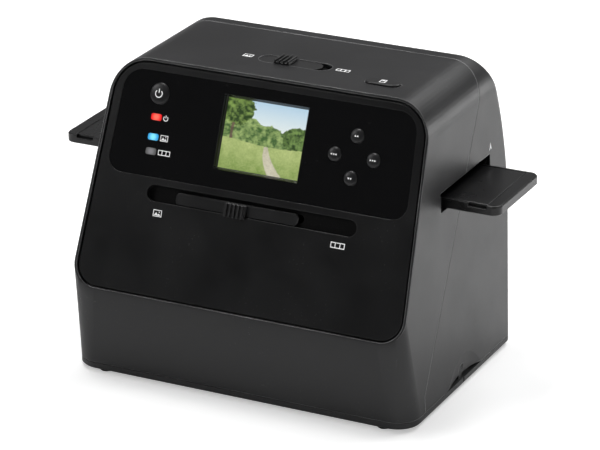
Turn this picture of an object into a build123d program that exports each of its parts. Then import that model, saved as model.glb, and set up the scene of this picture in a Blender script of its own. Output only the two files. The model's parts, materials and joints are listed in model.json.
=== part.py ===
from build123d import *
import os
from math import asin, cos, degrees, radians, sin, sqrt, tan

# Film negative scanner
#
# A tapered plastic housing stands on a flat photo tray. A film holder slides across the housing
# through a slot in each side, over a backlight that the long front slider moves. A camera under
# the top looks straight down through the film, or at a photograph on the tray. A display, buttons
# and indicators sit in a panel in the slanted front.
#
# Origin: on the table, under the middle of the tray. +X to the right, +Y to the back, +Z up.
# Positions on the slanted front are (x, k): k runs up the slope from the top of the chin, and
# depth is measured inwards, square to the slope. Lengths in mm, angles in degrees.

# Housing outside
FOOT_H = 2.0  # rubber feet under the tray
FOOT_R, FOOT_X, FOOT_Y = 4.0, 87.0, 65.0
TRAY_T = 4.0
SEAM_Z = FOOT_H + TRAY_T  # the housing stands on the tray here
TOP_Z = 177.5
BASE_W = 211.0
BASE_D = 143.0
SIDE_TAPER = 2.95  # each side leans in by this much
TOP_CORNER_R = 22.0
CHIN_TOP_Z = SEAM_Z + 47.6
CHIN_LEAN = 6.0  # the chin's top overhangs its foot
FRONT_SLOPE = 68.0  # slanted front, from the horizontal
KNEE_Y, KNEE_Z = 76.0, 88.0  # the back turns forward above this line
BACK_R = 206.5  # radius of the back above the knee
BACK_EDGE_R = 6.0
CHIN_FOOT_R, CHIN_TOP_R = 14.0, 3.0  # front corners, wide at the tray
INNER_CORNER = 0.6  # leg of the straight cut inside such a corner, as a share of its radius
WALL = 2.5
FRONT_WALL = 6.4  # behind the bezel, where the wall is stepped
SEAM_GAP = 0.3

# Parting line between front and rear shell, seen from the side
SEAM_FOOT_Y, SEAM_BEND_Z = -50.9, 15.7
SEAM_SLOPE = 0.596  # backwards per unit of height

# Bezel and control panel, on the slanted front
RIM = 1.5
GROOVE = 1.05
BEZEL_DEPTH = 0.6  # below the rim
BEZEL_BACK = 3.6
FOOT_CORNER_R = 15.0
PANEL_MARGIN = 7.5
PANEL_FOOT_K, PANEL_TOP_K = 68.1, 127.1
PANEL_DEPTH, PANEL_T = 1.0, 1.4
DISPLAY_W, DISPLAY_H = 48.9, 39.2  # 2.4 inches across the corners
DISPLAY_X, DISPLAY_K = -1.0, 99.65
DISPLAY_FLARE = 1.4  # the opening in front of the display widens by this on every side
WINDOW_T, WINDOW_LAP = 0.5, 2.4
MODULE_W, MODULE_H = 60.0, 46.0
BOARD_DEPTH, BOARD_T = 8.0, 1.6
FIT = 0.25  # gap round a moving or let-in piece

# Buttons and indicators
NAV_X, NAV_K, NAV_R, NAV_D = 55.8, 98.1, 11.65, 8.0
POWER_X, POWER_K, POWER_D = -66.8, 114.9, 12.0
BUTTON_RISE, DOME = 0.7, 0.5
FLANGE, FLANGE_T = 1.0, 1.0
SWITCH_H = 2.2
LIGHT_X, LIGHT_W, LIGHT_H = -66.5, 6.4, 3.7
LIGHT_K = {"indicator_red": 101.6, "indicator_blue": 90.4, "indicator_grey": 82.3}

# Front slider
PILL_W, PILL_H, PILL_K = 129.0, 9.4, 59.6
PLATE_W, PLATE_H = 75.5, 7.0
PLATE_X, PLATE_K = -9.0, 58.7  # low in the pill
PLATE_DEPTH, PLATE_T = 1.6, 1.8
GRIP_W, GRIP_FOOT_K, GRIP_TOP_K = 13.0, 53.8, 61.2
GRIP_LIFT, GRIP_T, RIB_H = 0.3, 0.9, 1.1  # the grip hangs over the bezel
GRIP_RIBS, RIB_PITCH, RIB_W = 5, 2.5, 1.1
STEM_W, STEM_H, STEM_END = 10.0, 4.0, 11.5
SLIDE_LEFT, SLIDE_RIGHT = -14.5, 32.5  # travel from rest
TRACK_FLOOR, TRACK_T = 3.8, 1.4
ARM_Z, ARM_T = 105.0, 2.4
ARM_W = 14.0

# Top switch and button
SWITCH_W, SWITCH_D, SWITCH_X, SWITCH_Y = 44.3, 12.0, 0.8, 0.5
SWITCH_TRAVEL = 5.5
SWITCH_GRIP_W, SWITCH_GRIP_X = 9.6, -4.9
SWITCH_LAP = 0.8  # the grip hangs over the front edge of the hole
FINS, FIN_PITCH, FIN_W, FIN_H = 4, 2.6, 1.1, 1.4
TOP_BUTTON_TRAVEL = 1.0
TOP_BOARD_W, TOP_BOARD_Z = 35.0, 166.0
TOP_BUTTON_X, TOP_BUTTON_Y, TOP_BUTTON_W, TOP_BUTTON_D = 59.0, -9.5, 20.6, 9.0

# Film holder and its way through the housing
AXIS_Y = 15.3  # the camera looks down here
HOLDER_L, HOLDER_W, HOLDER_T = 271.0, 59.0, 5.5
HOLDER_X, HOLDER_Z = -4.5, 112.8
HOLDER_BASE_T = 3.3
COVER_END, COVER_SIDE = 7.0, 2.0
FRAME_PITCH, FRAME_OPENING, SLIDE_SIZE, SLIDE_T = 60.0, 38.0, 50.6, 1.6
SLOT_Y0, SLOT_Y1, SLOT_Z0, SLOT_Z1 = -22.0, 47.3, 112.5, 123.8
LEDGE_Z, LEDGE_T, LEDGE_W, RAIL_T = 112.6, 3.0, 3.4, 2.5
RAIL_TOP_Z, RAIL_FOOT_Z = 119.5, 95.4
GATE_W, GATE_T, GATE_OPENING = 68.0, 1.5, 42.0

# Backlight
LAMP_W, LAMP_T, LAMP_Z = 64.0, 8.6, 97.8
LAMP_X = -SLIDE_RIGHT  # under the lens when the slider is at its right end

# Camera
MOUNT_Z, MOUNT_T, POST_X = 150.0, 2.0, 34.0
BARREL_R, BARREL_FOOT_Z, BARREL_TOP_Z = 10.0, 140.0, 164.0
LEVER_R, LEVER_PIN_R = 15.0, 1.2

# Sockets in the back
SOCKET_Z = 127.6
CARD_X, USB_X, VIDEO_X = -22.0, 8.0, 28.0

# Case screws, from the back into the front shell
SCREW_X, SCREW_Z, SCREW_R, SCREW_L = 87.5, 150.0, 1.5, 13.0
PAD_Y, PAD_L, SEAT_Y, TUNNEL_R = 31.8, 16.0, 36.0, 3.6

# Photo tray
PHOTO_W, PHOTO_D = 153.4, 103.0
SCOOP_Y, SCOOP_W, SCOOP_H = 3.0, 47.0, 14.0
CLIP_W, CLIP_H = 4.4, 7.6

FRONT_Y, BACK_Y = -BASE_D / 2, BASE_D / 2
SLOPE_SIN, SLOPE_COS = sin(radians(FRONT_SLOPE)), cos(radians(FRONT_SLOPE))
CHIN_TOP = (FRONT_Y - CHIN_LEAN, CHIN_TOP_Z)
FACE_LEN = (TOP_Z - CHIN_TOP_Z) / SLOPE_SIN
LIP = (CHIN_TOP[0] + FACE_LEN * SLOPE_COS, TOP_Z)
FACE = Plane(
    origin=(0, *CHIN_TOP), x_dir=(1, 0, 0), z_dir=(0, -SLOPE_SIN, SLOPE_COS)
)
OUTWARD = Axis(FACE.origin, FACE.z_dir)
BUTTON_FOOT = BOARD_DEPTH - SWITCH_H - 0.2 - FLANGE_T  # where a button's flange starts


def half_width(z):
    """Half the housing's width at height z."""
    return BASE_W / 2 - (z - SEAM_Z) * tan(radians(SIDE_TAPER))


def half_width_at(k):
    """Half the slanted front's width at k."""
    return half_width(CHIN_TOP_Z + k * SLOPE_SIN)


def back_y(z):
    """The back's place at height z."""
    if z < KNEE_Z:
        return BACK_Y + (KNEE_Y - BACK_Y) * (z - SEAM_Z) / (KNEE_Z - SEAM_Z)
    return KNEE_Y - BACK_R + sqrt(BACK_R**2 - (z - KNEE_Z) ** 2)


def seam_y(z):
    """The parting line's place at height z."""
    return SEAM_FOOT_Y + SEAM_SLOPE * max(z - SEAM_BEND_Z, 0)


def housing_form(inset=0.0):
    """The housing's outside, or the same form drawn in on every side but the foot."""
    foot = SEAM_Z - 2 * inset
    chin_foot = FRONT_Y + CHIN_LEAN * (SEAM_Z - foot) / (CHIN_TOP_Z - SEAM_Z)
    with BuildPart() as form:
        with BuildSketch(Plane.YZ):
            with BuildLine():
                Polyline((back_y(foot), foot), (chin_foot, foot), CHIN_TOP, LIP)
                Line(LIP, (back_y(TOP_Z), TOP_Z))
                middle_z = (KNEE_Z + TOP_Z) / 2
                ThreePointArc(
                    (back_y(TOP_Z), TOP_Z), (back_y(middle_z), middle_z), (KNEE_Y, KNEE_Z)
                )
                Line((KNEE_Y, KNEE_Z), (back_y(foot), foot))
            make_face()
            if inset:
                offset(amount=-inset, kind=Kind.INTERSECTION)
        extrude(amount=BASE_W, both=True)
        with BuildSketch(Plane.XZ):
            with BuildLine():
                Polyline(
                    (-half_width(foot), foot),
                    (half_width(foot), foot),
                    (half_width(TOP_Z), TOP_Z),
                    (-half_width(TOP_Z), TOP_Z),
                    close=True,
                )
            make_face()
            fillet(vertices().group_by(Axis.Y)[-1], TOP_CORNER_R)
            if inset:
                offset(amount=-inset, kind=Kind.INTERSECTION)
        extrude(amount=BASE_W, both=True, mode=Mode.INTERSECT)
    return form.part


def back_edges():
    """The side and top edges of the back, in the current part."""
    back_faces = faces().sort_by(Axis.Y)[-2:]
    foot_and_knee = back_faces.edges().filter_by(Axis.X).sort_by(Axis.Z)[:-1]
    return back_faces.edges() - foot_and_knee


def side_zone(front, gap):
    """All that lies in front of the parting line, or behind it, less half the seam's gap."""
    reach = 2 * BASE_D
    away = -reach if front else reach
    shift = -gap / 2 if front else gap / 2
    with BuildPart() as zone:
        with BuildSketch(Plane.YZ):
            with BuildLine():
                Polyline(
                    (away, -reach),
                    (SEAM_FOOT_Y + shift, -reach),
                    (SEAM_FOOT_Y + shift, SEAM_BEND_Z),
                    (seam_y(2 * TOP_Z) + shift, 2 * TOP_Z),
                    (away, 2 * TOP_Z),
                    close=True,
                )
            make_face()
        extrude(amount=BASE_W, both=True)
    return zone.part


def front_outline(margin, foot_k=0.0, top_k=FACE_LEN, foot_r=FOOT_CORNER_R, top_r=TOP_CORNER_R):
    """The slanted front's rounded outline in its own (x, k), drawn in by margin at the sides."""
    with BuildSketch() as outline:
        with BuildLine():
            Polyline(
                (-half_width_at(foot_k) + margin, foot_k),
                (half_width_at(foot_k) - margin, foot_k),
                (half_width_at(top_k) - margin, top_k),
                (-half_width_at(top_k) + margin, top_k),
                close=True,
            )
        make_face()
        fillet(vertices().group_by(Axis.Y)[0], foot_r)
        fillet(vertices().group_by(Axis.Y)[-1], top_r)
    return outline.sketch


def chin_corner(side):
    """What is cut off a front corner of the chin: an arc, wide at the foot and small above."""
    over = 1.0
    with BuildPart() as corner:
        for z, r in ((SEAM_Z, CHIN_FOOT_R), (CHIN_TOP_Z, CHIN_TOP_R)):
            y = FRONT_Y - CHIN_LEAN * (z - SEAM_Z) / (CHIN_TOP_Z - SEAM_Z)
            x = side * half_width(z)
            bend = r * (1 - sqrt(0.5))
            with BuildSketch(Plane.XY.offset(z)):
                with BuildLine():
                    ThreePointArc(
                        (x - side * r, y), (x - side * bend, y + bend), (x, y + r)
                    )
                    Polyline(
                        (x, y + r),
                        (x + side * over, y + r),
                        (x + side * over, y - over),
                        (x - side * r, y - over),
                        (x - side * r, y),
                    )
                make_face()
        loft()
    return corner.part


def inner_chin_corner(side):
    """What is cut off a front corner of the hollow, so that the wall follows the round chin."""
    over = 1.0
    with BuildPart() as corner:
        for z, r in ((SEAM_Z - WALL, CHIN_FOOT_R), (CHIN_TOP_Z, CHIN_TOP_R)):
            y = FRONT_Y + WALL - CHIN_LEAN * (z - SEAM_Z) / (CHIN_TOP_Z - SEAM_Z)
            x = side * (half_width(z) - WALL)
            leg = INNER_CORNER * r
            with BuildSketch(Plane.XY.offset(z)):
                with BuildLine():
                    Polyline(
                        (x - side * (leg + over), y - over),
                        (x + side * over, y + leg + over),
                        (x + side * over, y - over),
                        close=True,
                    )
                make_face()
        loft()
    return corner.part


def cavity_form():
    """The hollow inside, clear of the chin's round corners and of the wall behind the bezel."""
    inner_form = housing_form(WALL)
    with BuildPart() as cavity:
        add(inner_form)
        chamfer(back_edges(), BACK_EDGE_R - WALL)
        for side in (-1, 1):
            add(inner_chin_corner(side), mode=Mode.SUBTRACT)
        split(bisect_by=FACE.offset(-FRONT_WALL), keep=Keep.BOTTOM)
    return cavity.part


# Photo tray: the flat base with a bed for a photograph and two clips for the housing
with BuildPart() as photo_tray:
    with BuildSketch(Plane.XY.offset(FOOT_H)) as tray_outline:
        Rectangle(BASE_W, BASE_D)
        fillet(vertices().group_by(Axis.Y)[0], CHIN_FOOT_R)
        fillet(vertices().group_by(Axis.Y)[-1], BACK_EDGE_R)
    extrude(amount=TRAY_T - 0.3)
    chamfer(faces().sort_by(Axis.Z)[0].edges(), 0.8)
    # Locating rim inside the housing's foot
    rim_in = WALL + 0.8
    with BuildSketch(Plane.XY.offset(SEAM_Z - 0.3)):
        Rectangle(BASE_W - 2 * rim_in, BASE_D - 2 * rim_in)
        fillet(vertices(), CHIN_FOOT_R)
        offset(amount=-2.0, mode=Mode.SUBTRACT)
    extrude(amount=2.3)
    # Photo bed
    with BuildSketch(Plane.XY.offset(SEAM_Z - 0.3)):
        with Locations((0, BACK_Y - rim_in - 2.0 - PHOTO_D / 2)):
            RectangleRounded(PHOTO_W + 6, PHOTO_D + 4, 3)
            RectangleRounded(PHOTO_W, PHOTO_D, 1, mode=Mode.SUBTRACT)
    extrude(amount=1.5)
    # Clips that hold the housing, in line with the finger scoops
    clip_x = half_width(SEAM_Z) - WALL + 0.2
    with BuildSketch(Plane.XY.offset(SEAM_Z - 0.3)):
        with Locations((clip_x, SCOOP_Y - 2.4), (-clip_x, SCOOP_Y - 2.4)):
            Rectangle(1.0, CLIP_W)
    extrude(amount=CLIP_H)
    # Thumb notches under the scoops
    with BuildSketch(Plane.XY.offset(FOOT_H)):
        with Locations((BASE_W / 2, SCOOP_Y - 1), (-BASE_W / 2, SCOOP_Y - 1)):
            Rectangle(1.2, 1.6)
    extrude(amount=TRAY_T, mode=Mode.SUBTRACT)
photo_tray.part.label = "photo_tray"

# Rubber feet under the tray's corners
with BuildPart() as rubber_feet:
    with BuildSketch():
        with GridLocations(2 * FOOT_X, 2 * FOOT_Y, 2, 2):
            Circle(FOOT_R)
    extrude(amount=FOOT_H)
    chamfer(faces().sort_by(Axis.Z)[:4].edges(), 0.4)
rubber_feet.part.label = "rubber_feet"


def shell_walls(front):
    """One half of the hollow housing, with its film slots cut."""
    outside = housing_form()
    hollow = cavity_form()
    zone = side_zone(front, SEAM_GAP)
    corners = [chin_corner(side) for side in (-1, 1)]
    with BuildPart() as shell:
        add(outside)
        fillet(back_edges(), BACK_EDGE_R)
        add(corners, mode=Mode.SUBTRACT)
        add(hollow, mode=Mode.SUBTRACT)
        with BuildSketch(Plane.YZ):
            with Locations(((SLOT_Y0 + SLOT_Y1) / 2, (SLOT_Z0 + SLOT_Z1) / 2)):
                RectangleRounded(SLOT_Y1 - SLOT_Y0, SLOT_Z1 - SLOT_Z0, 0.8)
        extrude(amount=BASE_W, both=True, mode=Mode.SUBTRACT)
        add(zone, mode=Mode.INTERSECT)
    return shell.part


# Front shell: front, top and the forward part of the sides, with the bezel's stepped opening
front_walls = shell_walls(True)
recess_outline = front_outline(RIM, RIM, FACE_LEN - RIM, FOOT_CORNER_R - RIM, TOP_CORNER_R - RIM)
opening_outline = front_outline(9, 9, FACE_LEN - 9, 6, 12)
with BuildPart() as front_shell:
    add(front_walls)
    # Posts that carry the camera mount, and two for the button's board
    with BuildSketch(Plane.XY.offset(MOUNT_Z + MOUNT_T)):
        with Locations((0, AXIS_Y)):
            with GridLocations(2 * POST_X, 44, 2, 2):
                Circle(3.0)
    extrude(amount=TOP_Z - WALL / 2 - MOUNT_Z - MOUNT_T)
    with BuildSketch(Plane.XY.offset(TOP_BOARD_Z + BOARD_T)):
        with Locations((TOP_BUTTON_X, TOP_BUTTON_Y)):
            with GridLocations(TOP_BOARD_W - 4, 1, 2, 1):
                Circle(1.6)
    extrude(amount=TOP_Z - WALL / 2 - TOP_BOARD_Z - BOARD_T)
    # Pads that take the case screws, each with a web to the side wall
    with BuildSketch(Plane.XZ.offset(-PAD_Y)):
        with Locations((SCREW_X, SCREW_Z), (-SCREW_X, SCREW_Z)):
            Rectangle(9.6, 9)
    extrude(amount=PAD_L)
    with BuildSketch(Plane.XZ.offset(-(seam_y(SCREW_Z) - 5))):
        with Locations((SCREW_X + 6.5, SCREW_Z), (-SCREW_X - 6.5, SCREW_Z)):
            Rectangle(7, 9)
    extrude(amount=12)
    # Bezel recess and the opening behind it
    with BuildSketch(FACE):
        add(recess_outline)
    extrude(amount=-BEZEL_BACK, mode=Mode.SUBTRACT)
    with BuildSketch(FACE):
        add(opening_outline)
    extrude(amount=-3 * FRONT_WALL, mode=Mode.SUBTRACT)
    # Holes for the top switch, the top button and the case screws
    with BuildSketch(Plane.XY.offset(TOP_Z)):
        with Locations((SWITCH_X, SWITCH_Y)):
            SlotOverall(SWITCH_W, SWITCH_D)
        with Locations((TOP_BUTTON_X, TOP_BUTTON_Y)):
            SlotOverall(TOP_BUTTON_W + 2 * FIT, TOP_BUTTON_D + 2 * FIT)
    extrude(amount=-2 * WALL, mode=Mode.SUBTRACT)
    with BuildSketch(Plane.XZ.offset(-PAD_Y)):
        with Locations((SCREW_X, SCREW_Z), (-SCREW_X, SCREW_Z)):
            Circle(SCREW_R + 0.05)
    extrude(amount=SCREW_L - 3, mode=Mode.SUBTRACT)
front_shell.part.label = "front_shell"

# Screw tunnels from the front shell's pads to the back, and brackets under the socket board
trim_form = housing_form(WALL / 2)
with BuildPart() as back_inside:
    with BuildSketch(Plane.XZ.offset(-PAD_Y - 0.2)):
        with Locations((SCREW_X, SCREW_Z), (-SCREW_X, SCREW_Z)):
            Circle(TUNNEL_R + 1.6)
    extrude(amount=-(back_y(SCREW_Z) - PAD_Y))
    bracket_z = SOCKET_Z - BOARD_T
    for side in (-1, 1):
        with BuildSketch(Plane.YZ.offset(side * 42 - 1.25)):
            with BuildLine():
                Polyline((50, bracket_z), (50, bracket_z - 3), (67, bracket_z - 7))
                Polyline((67, bracket_z - 7), (74, bracket_z - 7), (74, bracket_z))
                Line((74, bracket_z), (50, bracket_z))
            make_face()
        extrude(amount=2.5)
    add(trim_form, mode=Mode.INTERSECT)

# Rear shell: back and the rest of the sides, with screw tunnels, sockets and finger scoops
rear_walls = shell_walls(False)
with BuildPart() as rear_shell:
    add(rear_walls)
    add(back_inside.part)
    with BuildSketch(Plane.XZ.offset(-SEAT_Y)):
        with Locations((SCREW_X, SCREW_Z), (-SCREW_X, SCREW_Z)):
            Circle(TUNNEL_R)
    extrude(amount=-60, mode=Mode.SUBTRACT)
    with BuildSketch(Plane.XZ.offset(-PAD_Y)):
        with Locations((SCREW_X, SCREW_Z), (-SCREW_X, SCREW_Z)):
            Circle(SCREW_R + 0.2)
    extrude(amount=-10, mode=Mode.SUBTRACT)
    # Openings for the card, data and video sockets
    with BuildSketch(Plane.XZ.offset(-58)):
        with Locations((CARD_X, SOCKET_Z + 1.7)):
            Rectangle(25.5, 3.0)
        with Locations((USB_X, SOCKET_Z + 2.2)):
            RectangleRounded(9.4, 5.0, 0.8)
        with Locations((VIDEO_X, SOCKET_Z + 3.4)):
            Circle(3.6)
    extrude(amount=-30, mode=Mode.SUBTRACT)
    # Finger scoops, each a shallow hollow that runs out upwards, with an arched gap below
    lean = degrees(asin(2.0 / SCOOP_H))
    scoop_r = (SCOOP_W / 2) ** 2 / (2 * 2.0)
    for side in (-1, 1):
        tilt = side * (lean - SIDE_TAPER)
        foot_x = side * (half_width(SEAM_Z) - 2.0)
        scoop_plane = Plane(
            origin=(foot_x, SCOOP_Y, SEAM_Z),
            x_dir=(0, 1, 0),
            z_dir=(sin(radians(tilt)), 0, cos(radians(tilt))),
        )
        with BuildSketch(scoop_plane.offset(-10)):
            # x_dir is +Y here, so the plane's own y runs towards -X
            with Locations((0, -side * scoop_r)):
                Circle(scoop_r)
        extrude(amount=SCOOP_H + 16, mode=Mode.SUBTRACT)
    arch_rise = 2.2
    with BuildSketch(Plane.YZ):
        with BuildLine():
            ThreePointArc(
                (SCOOP_Y - SCOOP_W / 2, SEAM_Z),
                (SCOOP_Y, SEAM_Z + arch_rise),
                (SCOOP_Y + SCOOP_W / 2, SEAM_Z),
            )
            Line((SCOOP_Y + SCOOP_W / 2, SEAM_Z), (SCOOP_Y - SCOOP_W / 2, SEAM_Z))
        make_face()
        # Notch for the tray's clip
        with Locations((SCOOP_Y - 2.4, SEAM_Z + CLIP_H / 2)):
            Rectangle(CLIP_W + 0.8, CLIP_H + 0.4)
    extrude(amount=BASE_W, both=True, mode=Mode.SUBTRACT)
rear_shell.part.label = "rear_shell"

# Case screws at the bottom of the tunnels, with cross recesses
with BuildPart() as case_screws:
    with BuildSketch(Plane.XZ.offset(-SEAT_Y)):
        with Locations((SCREW_X, SCREW_Z), (-SCREW_X, SCREW_Z)):
            Circle(2 * SCREW_R)
    extrude(amount=-2.2)
    with BuildSketch(Plane.XZ.offset(-SEAT_Y - 1.0)):
        with Locations((SCREW_X, SCREW_Z), (-SCREW_X, SCREW_Z)):
            Rectangle(3.6, 0.8)
            Rectangle(0.8, 3.6)
    extrude(amount=-2, mode=Mode.SUBTRACT)
    with BuildSketch(Plane.XZ.offset(-SEAT_Y)):
        with Locations((SCREW_X, SCREW_Z), (-SCREW_X, SCREW_Z)):
            Circle(SCREW_R)
    extrude(amount=SCREW_L)
case_screws.part.label = "case_screws"

# Bezel: satin panel in the slanted front, with a bed for the control panel
NAV_PLACES = {
    "button_up": (NAV_X, NAV_K + NAV_R),
    "button_down": (NAV_X, NAV_K - NAV_R),
    "button_left": (NAV_X - NAV_R, NAV_K),
    "button_right": (NAV_X + NAV_R, NAV_K),
}
edge = RIM + GROOVE
bezel_outline = front_outline(
    edge, edge, FACE_LEN - edge, FOOT_CORNER_R - edge, TOP_CORNER_R - edge
)
panel_bed = front_outline(PANEL_MARGIN, PANEL_FOOT_K, PANEL_TOP_K, 9, 12)
panel_outline = front_outline(
    PANEL_MARGIN + 0.1, PANEL_FOOT_K + 0.1, PANEL_TOP_K - 0.1, 8.9, 11.9
)
display_front = FACE.from_local_coords((DISPLAY_X, DISPLAY_K, -PANEL_DEPTH))
display_back = FACE.from_local_coords((DISPLAY_X, DISPLAY_K, -BEZEL_BACK))
with BuildPart() as flared_opening:
    with BuildSketch(Plane(display_front, x_dir=(1, 0, 0), z_dir=FACE.z_dir)):
        Rectangle(DISPLAY_W + 2 * DISPLAY_FLARE, DISPLAY_H + 2 * DISPLAY_FLARE)
    with BuildSketch(Plane(display_back, x_dir=(1, 0, 0), z_dir=FACE.z_dir)):
        Rectangle(DISPLAY_W, DISPLAY_H)
    loft()
display_flare = flared_opening.part
with BuildPart() as front_bezel:
    with BuildSketch(FACE.offset(-BEZEL_DEPTH)):
        add(bezel_outline)
    extrude(amount=BEZEL_DEPTH - BEZEL_BACK)
    chamfer(faces().sort_by(OUTWARD)[-1].edges(), 0.4)
    # Bed of the control panel
    with BuildSketch(FACE):
        add(panel_bed)
    extrude(amount=-PANEL_DEPTH - PANEL_T, mode=Mode.SUBTRACT)
    # Holes for the buttons, the indicators and the slider
    with BuildSketch(FACE):
        with Locations(*NAV_PLACES.values()):
            Circle(NAV_D / 2 + FIT)
        with Locations((POWER_X, POWER_K)):
            Circle(POWER_D / 2 + FIT)
        with Locations(*[(LIGHT_X, k) for k in LIGHT_K.values()]):
            RectangleRounded(LIGHT_W + 0.2, LIGHT_H + 0.2, 1.2)
        with Locations((0, PILL_K)):
            SlotOverall(PILL_W, PILL_H)
    extrude(amount=-2 * BEZEL_BACK, mode=Mode.SUBTRACT)
    add(display_flare, mode=Mode.SUBTRACT)
    # Posts for the circuit board
    with BuildSketch(FACE.offset(-BEZEL_BACK)):
        with Locations((0, 99)):
            with GridLocations(164, 36, 2, 2):
                Circle(3)
    extrude(amount=BEZEL_BACK - BOARD_DEPTH)
front_bezel.part.label = "front_bezel"

# Control panel: glossy sheet let into the bezel
with BuildPart() as control_panel:
    with BuildSketch(FACE.offset(-PANEL_DEPTH)):
        add(panel_outline)
        with Locations(*NAV_PLACES.values()):
            Circle(NAV_D / 2 + FIT, mode=Mode.SUBTRACT)
        with Locations((POWER_X, POWER_K)):
            Circle(POWER_D / 2 + FIT, mode=Mode.SUBTRACT)
        with Locations(*[(LIGHT_X, k) for k in LIGHT_K.values()]):
            RectangleRounded(LIGHT_W + 0.2, LIGHT_H + 0.2, 1.2, mode=Mode.SUBTRACT)
    extrude(amount=-PANEL_T)
    add(display_flare, mode=Mode.SUBTRACT)
control_panel.part.label = "control_panel"

# Clear window behind the opening, held between the bezel and the display
with BuildPart() as display_window:
    with BuildSketch(FACE.offset(-BEZEL_BACK)):
        with Locations((DISPLAY_X, DISPLAY_K)):
            Rectangle(DISPLAY_W + 2 * WINDOW_LAP, DISPLAY_H + 2 * WINDOW_LAP)
    extrude(amount=-WINDOW_T)
display_window.part.label = "display_window"

# Display module: a flat block between the window and the circuit board
with BuildPart() as lcd_module:
    with BuildSketch(FACE.offset(-BEZEL_BACK - WINDOW_T)):
        with Locations((DISPLAY_X, DISPLAY_K)):
            Rectangle(MODULE_W, MODULE_H)
    extrude(amount=BEZEL_BACK + WINDOW_T - BOARD_DEPTH)
lcd_module.part.label = "lcd_module"

# Circuit board behind the bezel
with BuildPart() as panel_board:
    with BuildSketch(FACE.offset(-BOARD_DEPTH)):
        with Locations((0, 99)):
            RectangleRounded(172, 46, 2)
    extrude(amount=-BOARD_T)
panel_board.part.label = "panel_board"

# Push switches on the board, one under each button
with BuildPart() as panel_switches:
    with BuildSketch(FACE.offset(-BOARD_DEPTH)):
        with Locations(*NAV_PLACES.values(), (POWER_X, POWER_K)):
            Rectangle(6, 6)
    extrude(amount=1.4)
    with BuildSketch(FACE.offset(-BOARD_DEPTH)):
        with Locations(*NAV_PLACES.values(), (POWER_X, POWER_K)):
            Circle(1.6)
    extrude(amount=SWITCH_H - 1.0)
panel_switches.part.label = "panel_switches"

# Light pipes of the three indicators, from the board to just proud of the panel
light_pipes = {}
for name, k in LIGHT_K.items():
    with BuildPart() as light_pipe:
        with BuildSketch(FACE.offset(0.2 - PANEL_DEPTH)):
            with Locations((LIGHT_X, k)):
                RectangleRounded(LIGHT_W, LIGHT_H, 1.1)
        extrude(amount=PANEL_DEPTH - 0.2 - BOARD_DEPTH)
    light_pipe.part.label = name
    light_pipes[name] = light_pipe.part


def dome_button(x, k, diameter):
    """A round button with a cap domed in three steps; a flange behind the bezel keeps it in."""
    centre = FACE.from_local_coords((x, k, 0))
    turning = Plane(origin=centre, x_dir=(1, 0, 0), z_dir=-FACE.y_dir)
    r = diameter / 2
    rise = BUTTON_RISE - PANEL_DEPTH
    ball_r = (r**2 + DOME**2) / (2 * DOME)
    dome = [
        (share * r, rise + DOME - ball_r + sqrt(ball_r**2 - (share * r) ** 2))
        for share in (1.0, 0.7, 0.35)
    ]
    with BuildPart() as button:
        with BuildSketch(turning):
            with BuildLine():
                Polyline(
                    (0, dome[-1][1]),
                    (0, -BUTTON_FOOT - FLANGE_T),
                    (r + FLANGE, -BUTTON_FOOT - FLANGE_T),
                    (r + FLANGE, -BUTTON_FOOT),
                    (r, -BUTTON_FOOT),
                    *dome,
                    close=True,
                )
            make_face()
        revolve(axis=Axis(centre, FACE.z_dir))
    return button.part


buttons = {name: dome_button(x, k, NAV_D) for name, (x, k) in NAV_PLACES.items()}
buttons["power_button"] = dome_button(POWER_X, POWER_K, POWER_D)
for name, part in buttons.items():
    part.label = name

# Slider track: a trough behind the pill-shaped hole, with a slit for the slider's stem
with BuildPart() as slider_track:
    with BuildSketch(FACE.offset(-BEZEL_BACK)):
        with Locations((0, PILL_K)):
            SlotOverall(PILL_W + 4, PILL_H + 4)
    extrude(amount=-TRACK_T - 0.2)
    with BuildSketch(FACE.offset(-BEZEL_BACK)):
        with Locations((0, PILL_K)):
            SlotOverall(PILL_W, PILL_H)
    extrude(amount=BEZEL_BACK - TRACK_FLOOR, mode=Mode.SUBTRACT)
    slit_w = SLIDE_RIGHT - SLIDE_LEFT + STEM_W + 6
    with BuildSketch(FACE):
        with Locations((PLATE_X + (SLIDE_LEFT + SLIDE_RIGHT) / 2, PILL_K)):
            SlotOverall(slit_w, STEM_H + 0.8)
    extrude(amount=-2 * FRONT_WALL, mode=Mode.SUBTRACT)
slider_track.part.label = "slider_track"

# Front slider: a flat plate with a ribbed grip that hangs over the slot's lower edge
grip_foot = FACE.offset(GRIP_LIFT - BEZEL_DEPTH)
grip_k, grip_h = (GRIP_FOOT_K + GRIP_TOP_K) / 2, GRIP_TOP_K - GRIP_FOOT_K
with BuildPart() as front_slider:
    with BuildSketch(FACE.offset(-PLATE_DEPTH)):
        with Locations((PLATE_X, PLATE_K)):
            RectangleRounded(PLATE_W, PLATE_H, 2.6)
    extrude(amount=-PLATE_T)
    chamfer(faces().sort_by(OUTWARD)[-1].edges(), 0.35)
    # Neck, grip and ribs
    with BuildSketch(FACE.offset(-PLATE_DEPTH)):
        with Locations((PLATE_X, PLATE_K)):
            Rectangle(GRIP_W - 1.0, PLATE_H - 1.2)
    extrude(amount=PLATE_DEPTH - BEZEL_DEPTH + GRIP_LIFT)
    with BuildSketch(grip_foot):
        with Locations((PLATE_X, grip_k)):
            Rectangle(GRIP_W, grip_h)
    extrude(amount=GRIP_T)
    with BuildSketch(grip_foot.offset(GRIP_T)):
        with Locations((PLATE_X, grip_k)):
            with GridLocations(RIB_PITCH, 1, GRIP_RIBS, 1):
                Rectangle(RIB_W, grip_h)
    extrude(amount=RIB_H, taper=8)
front_slider.part.label = "front_slider"

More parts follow.
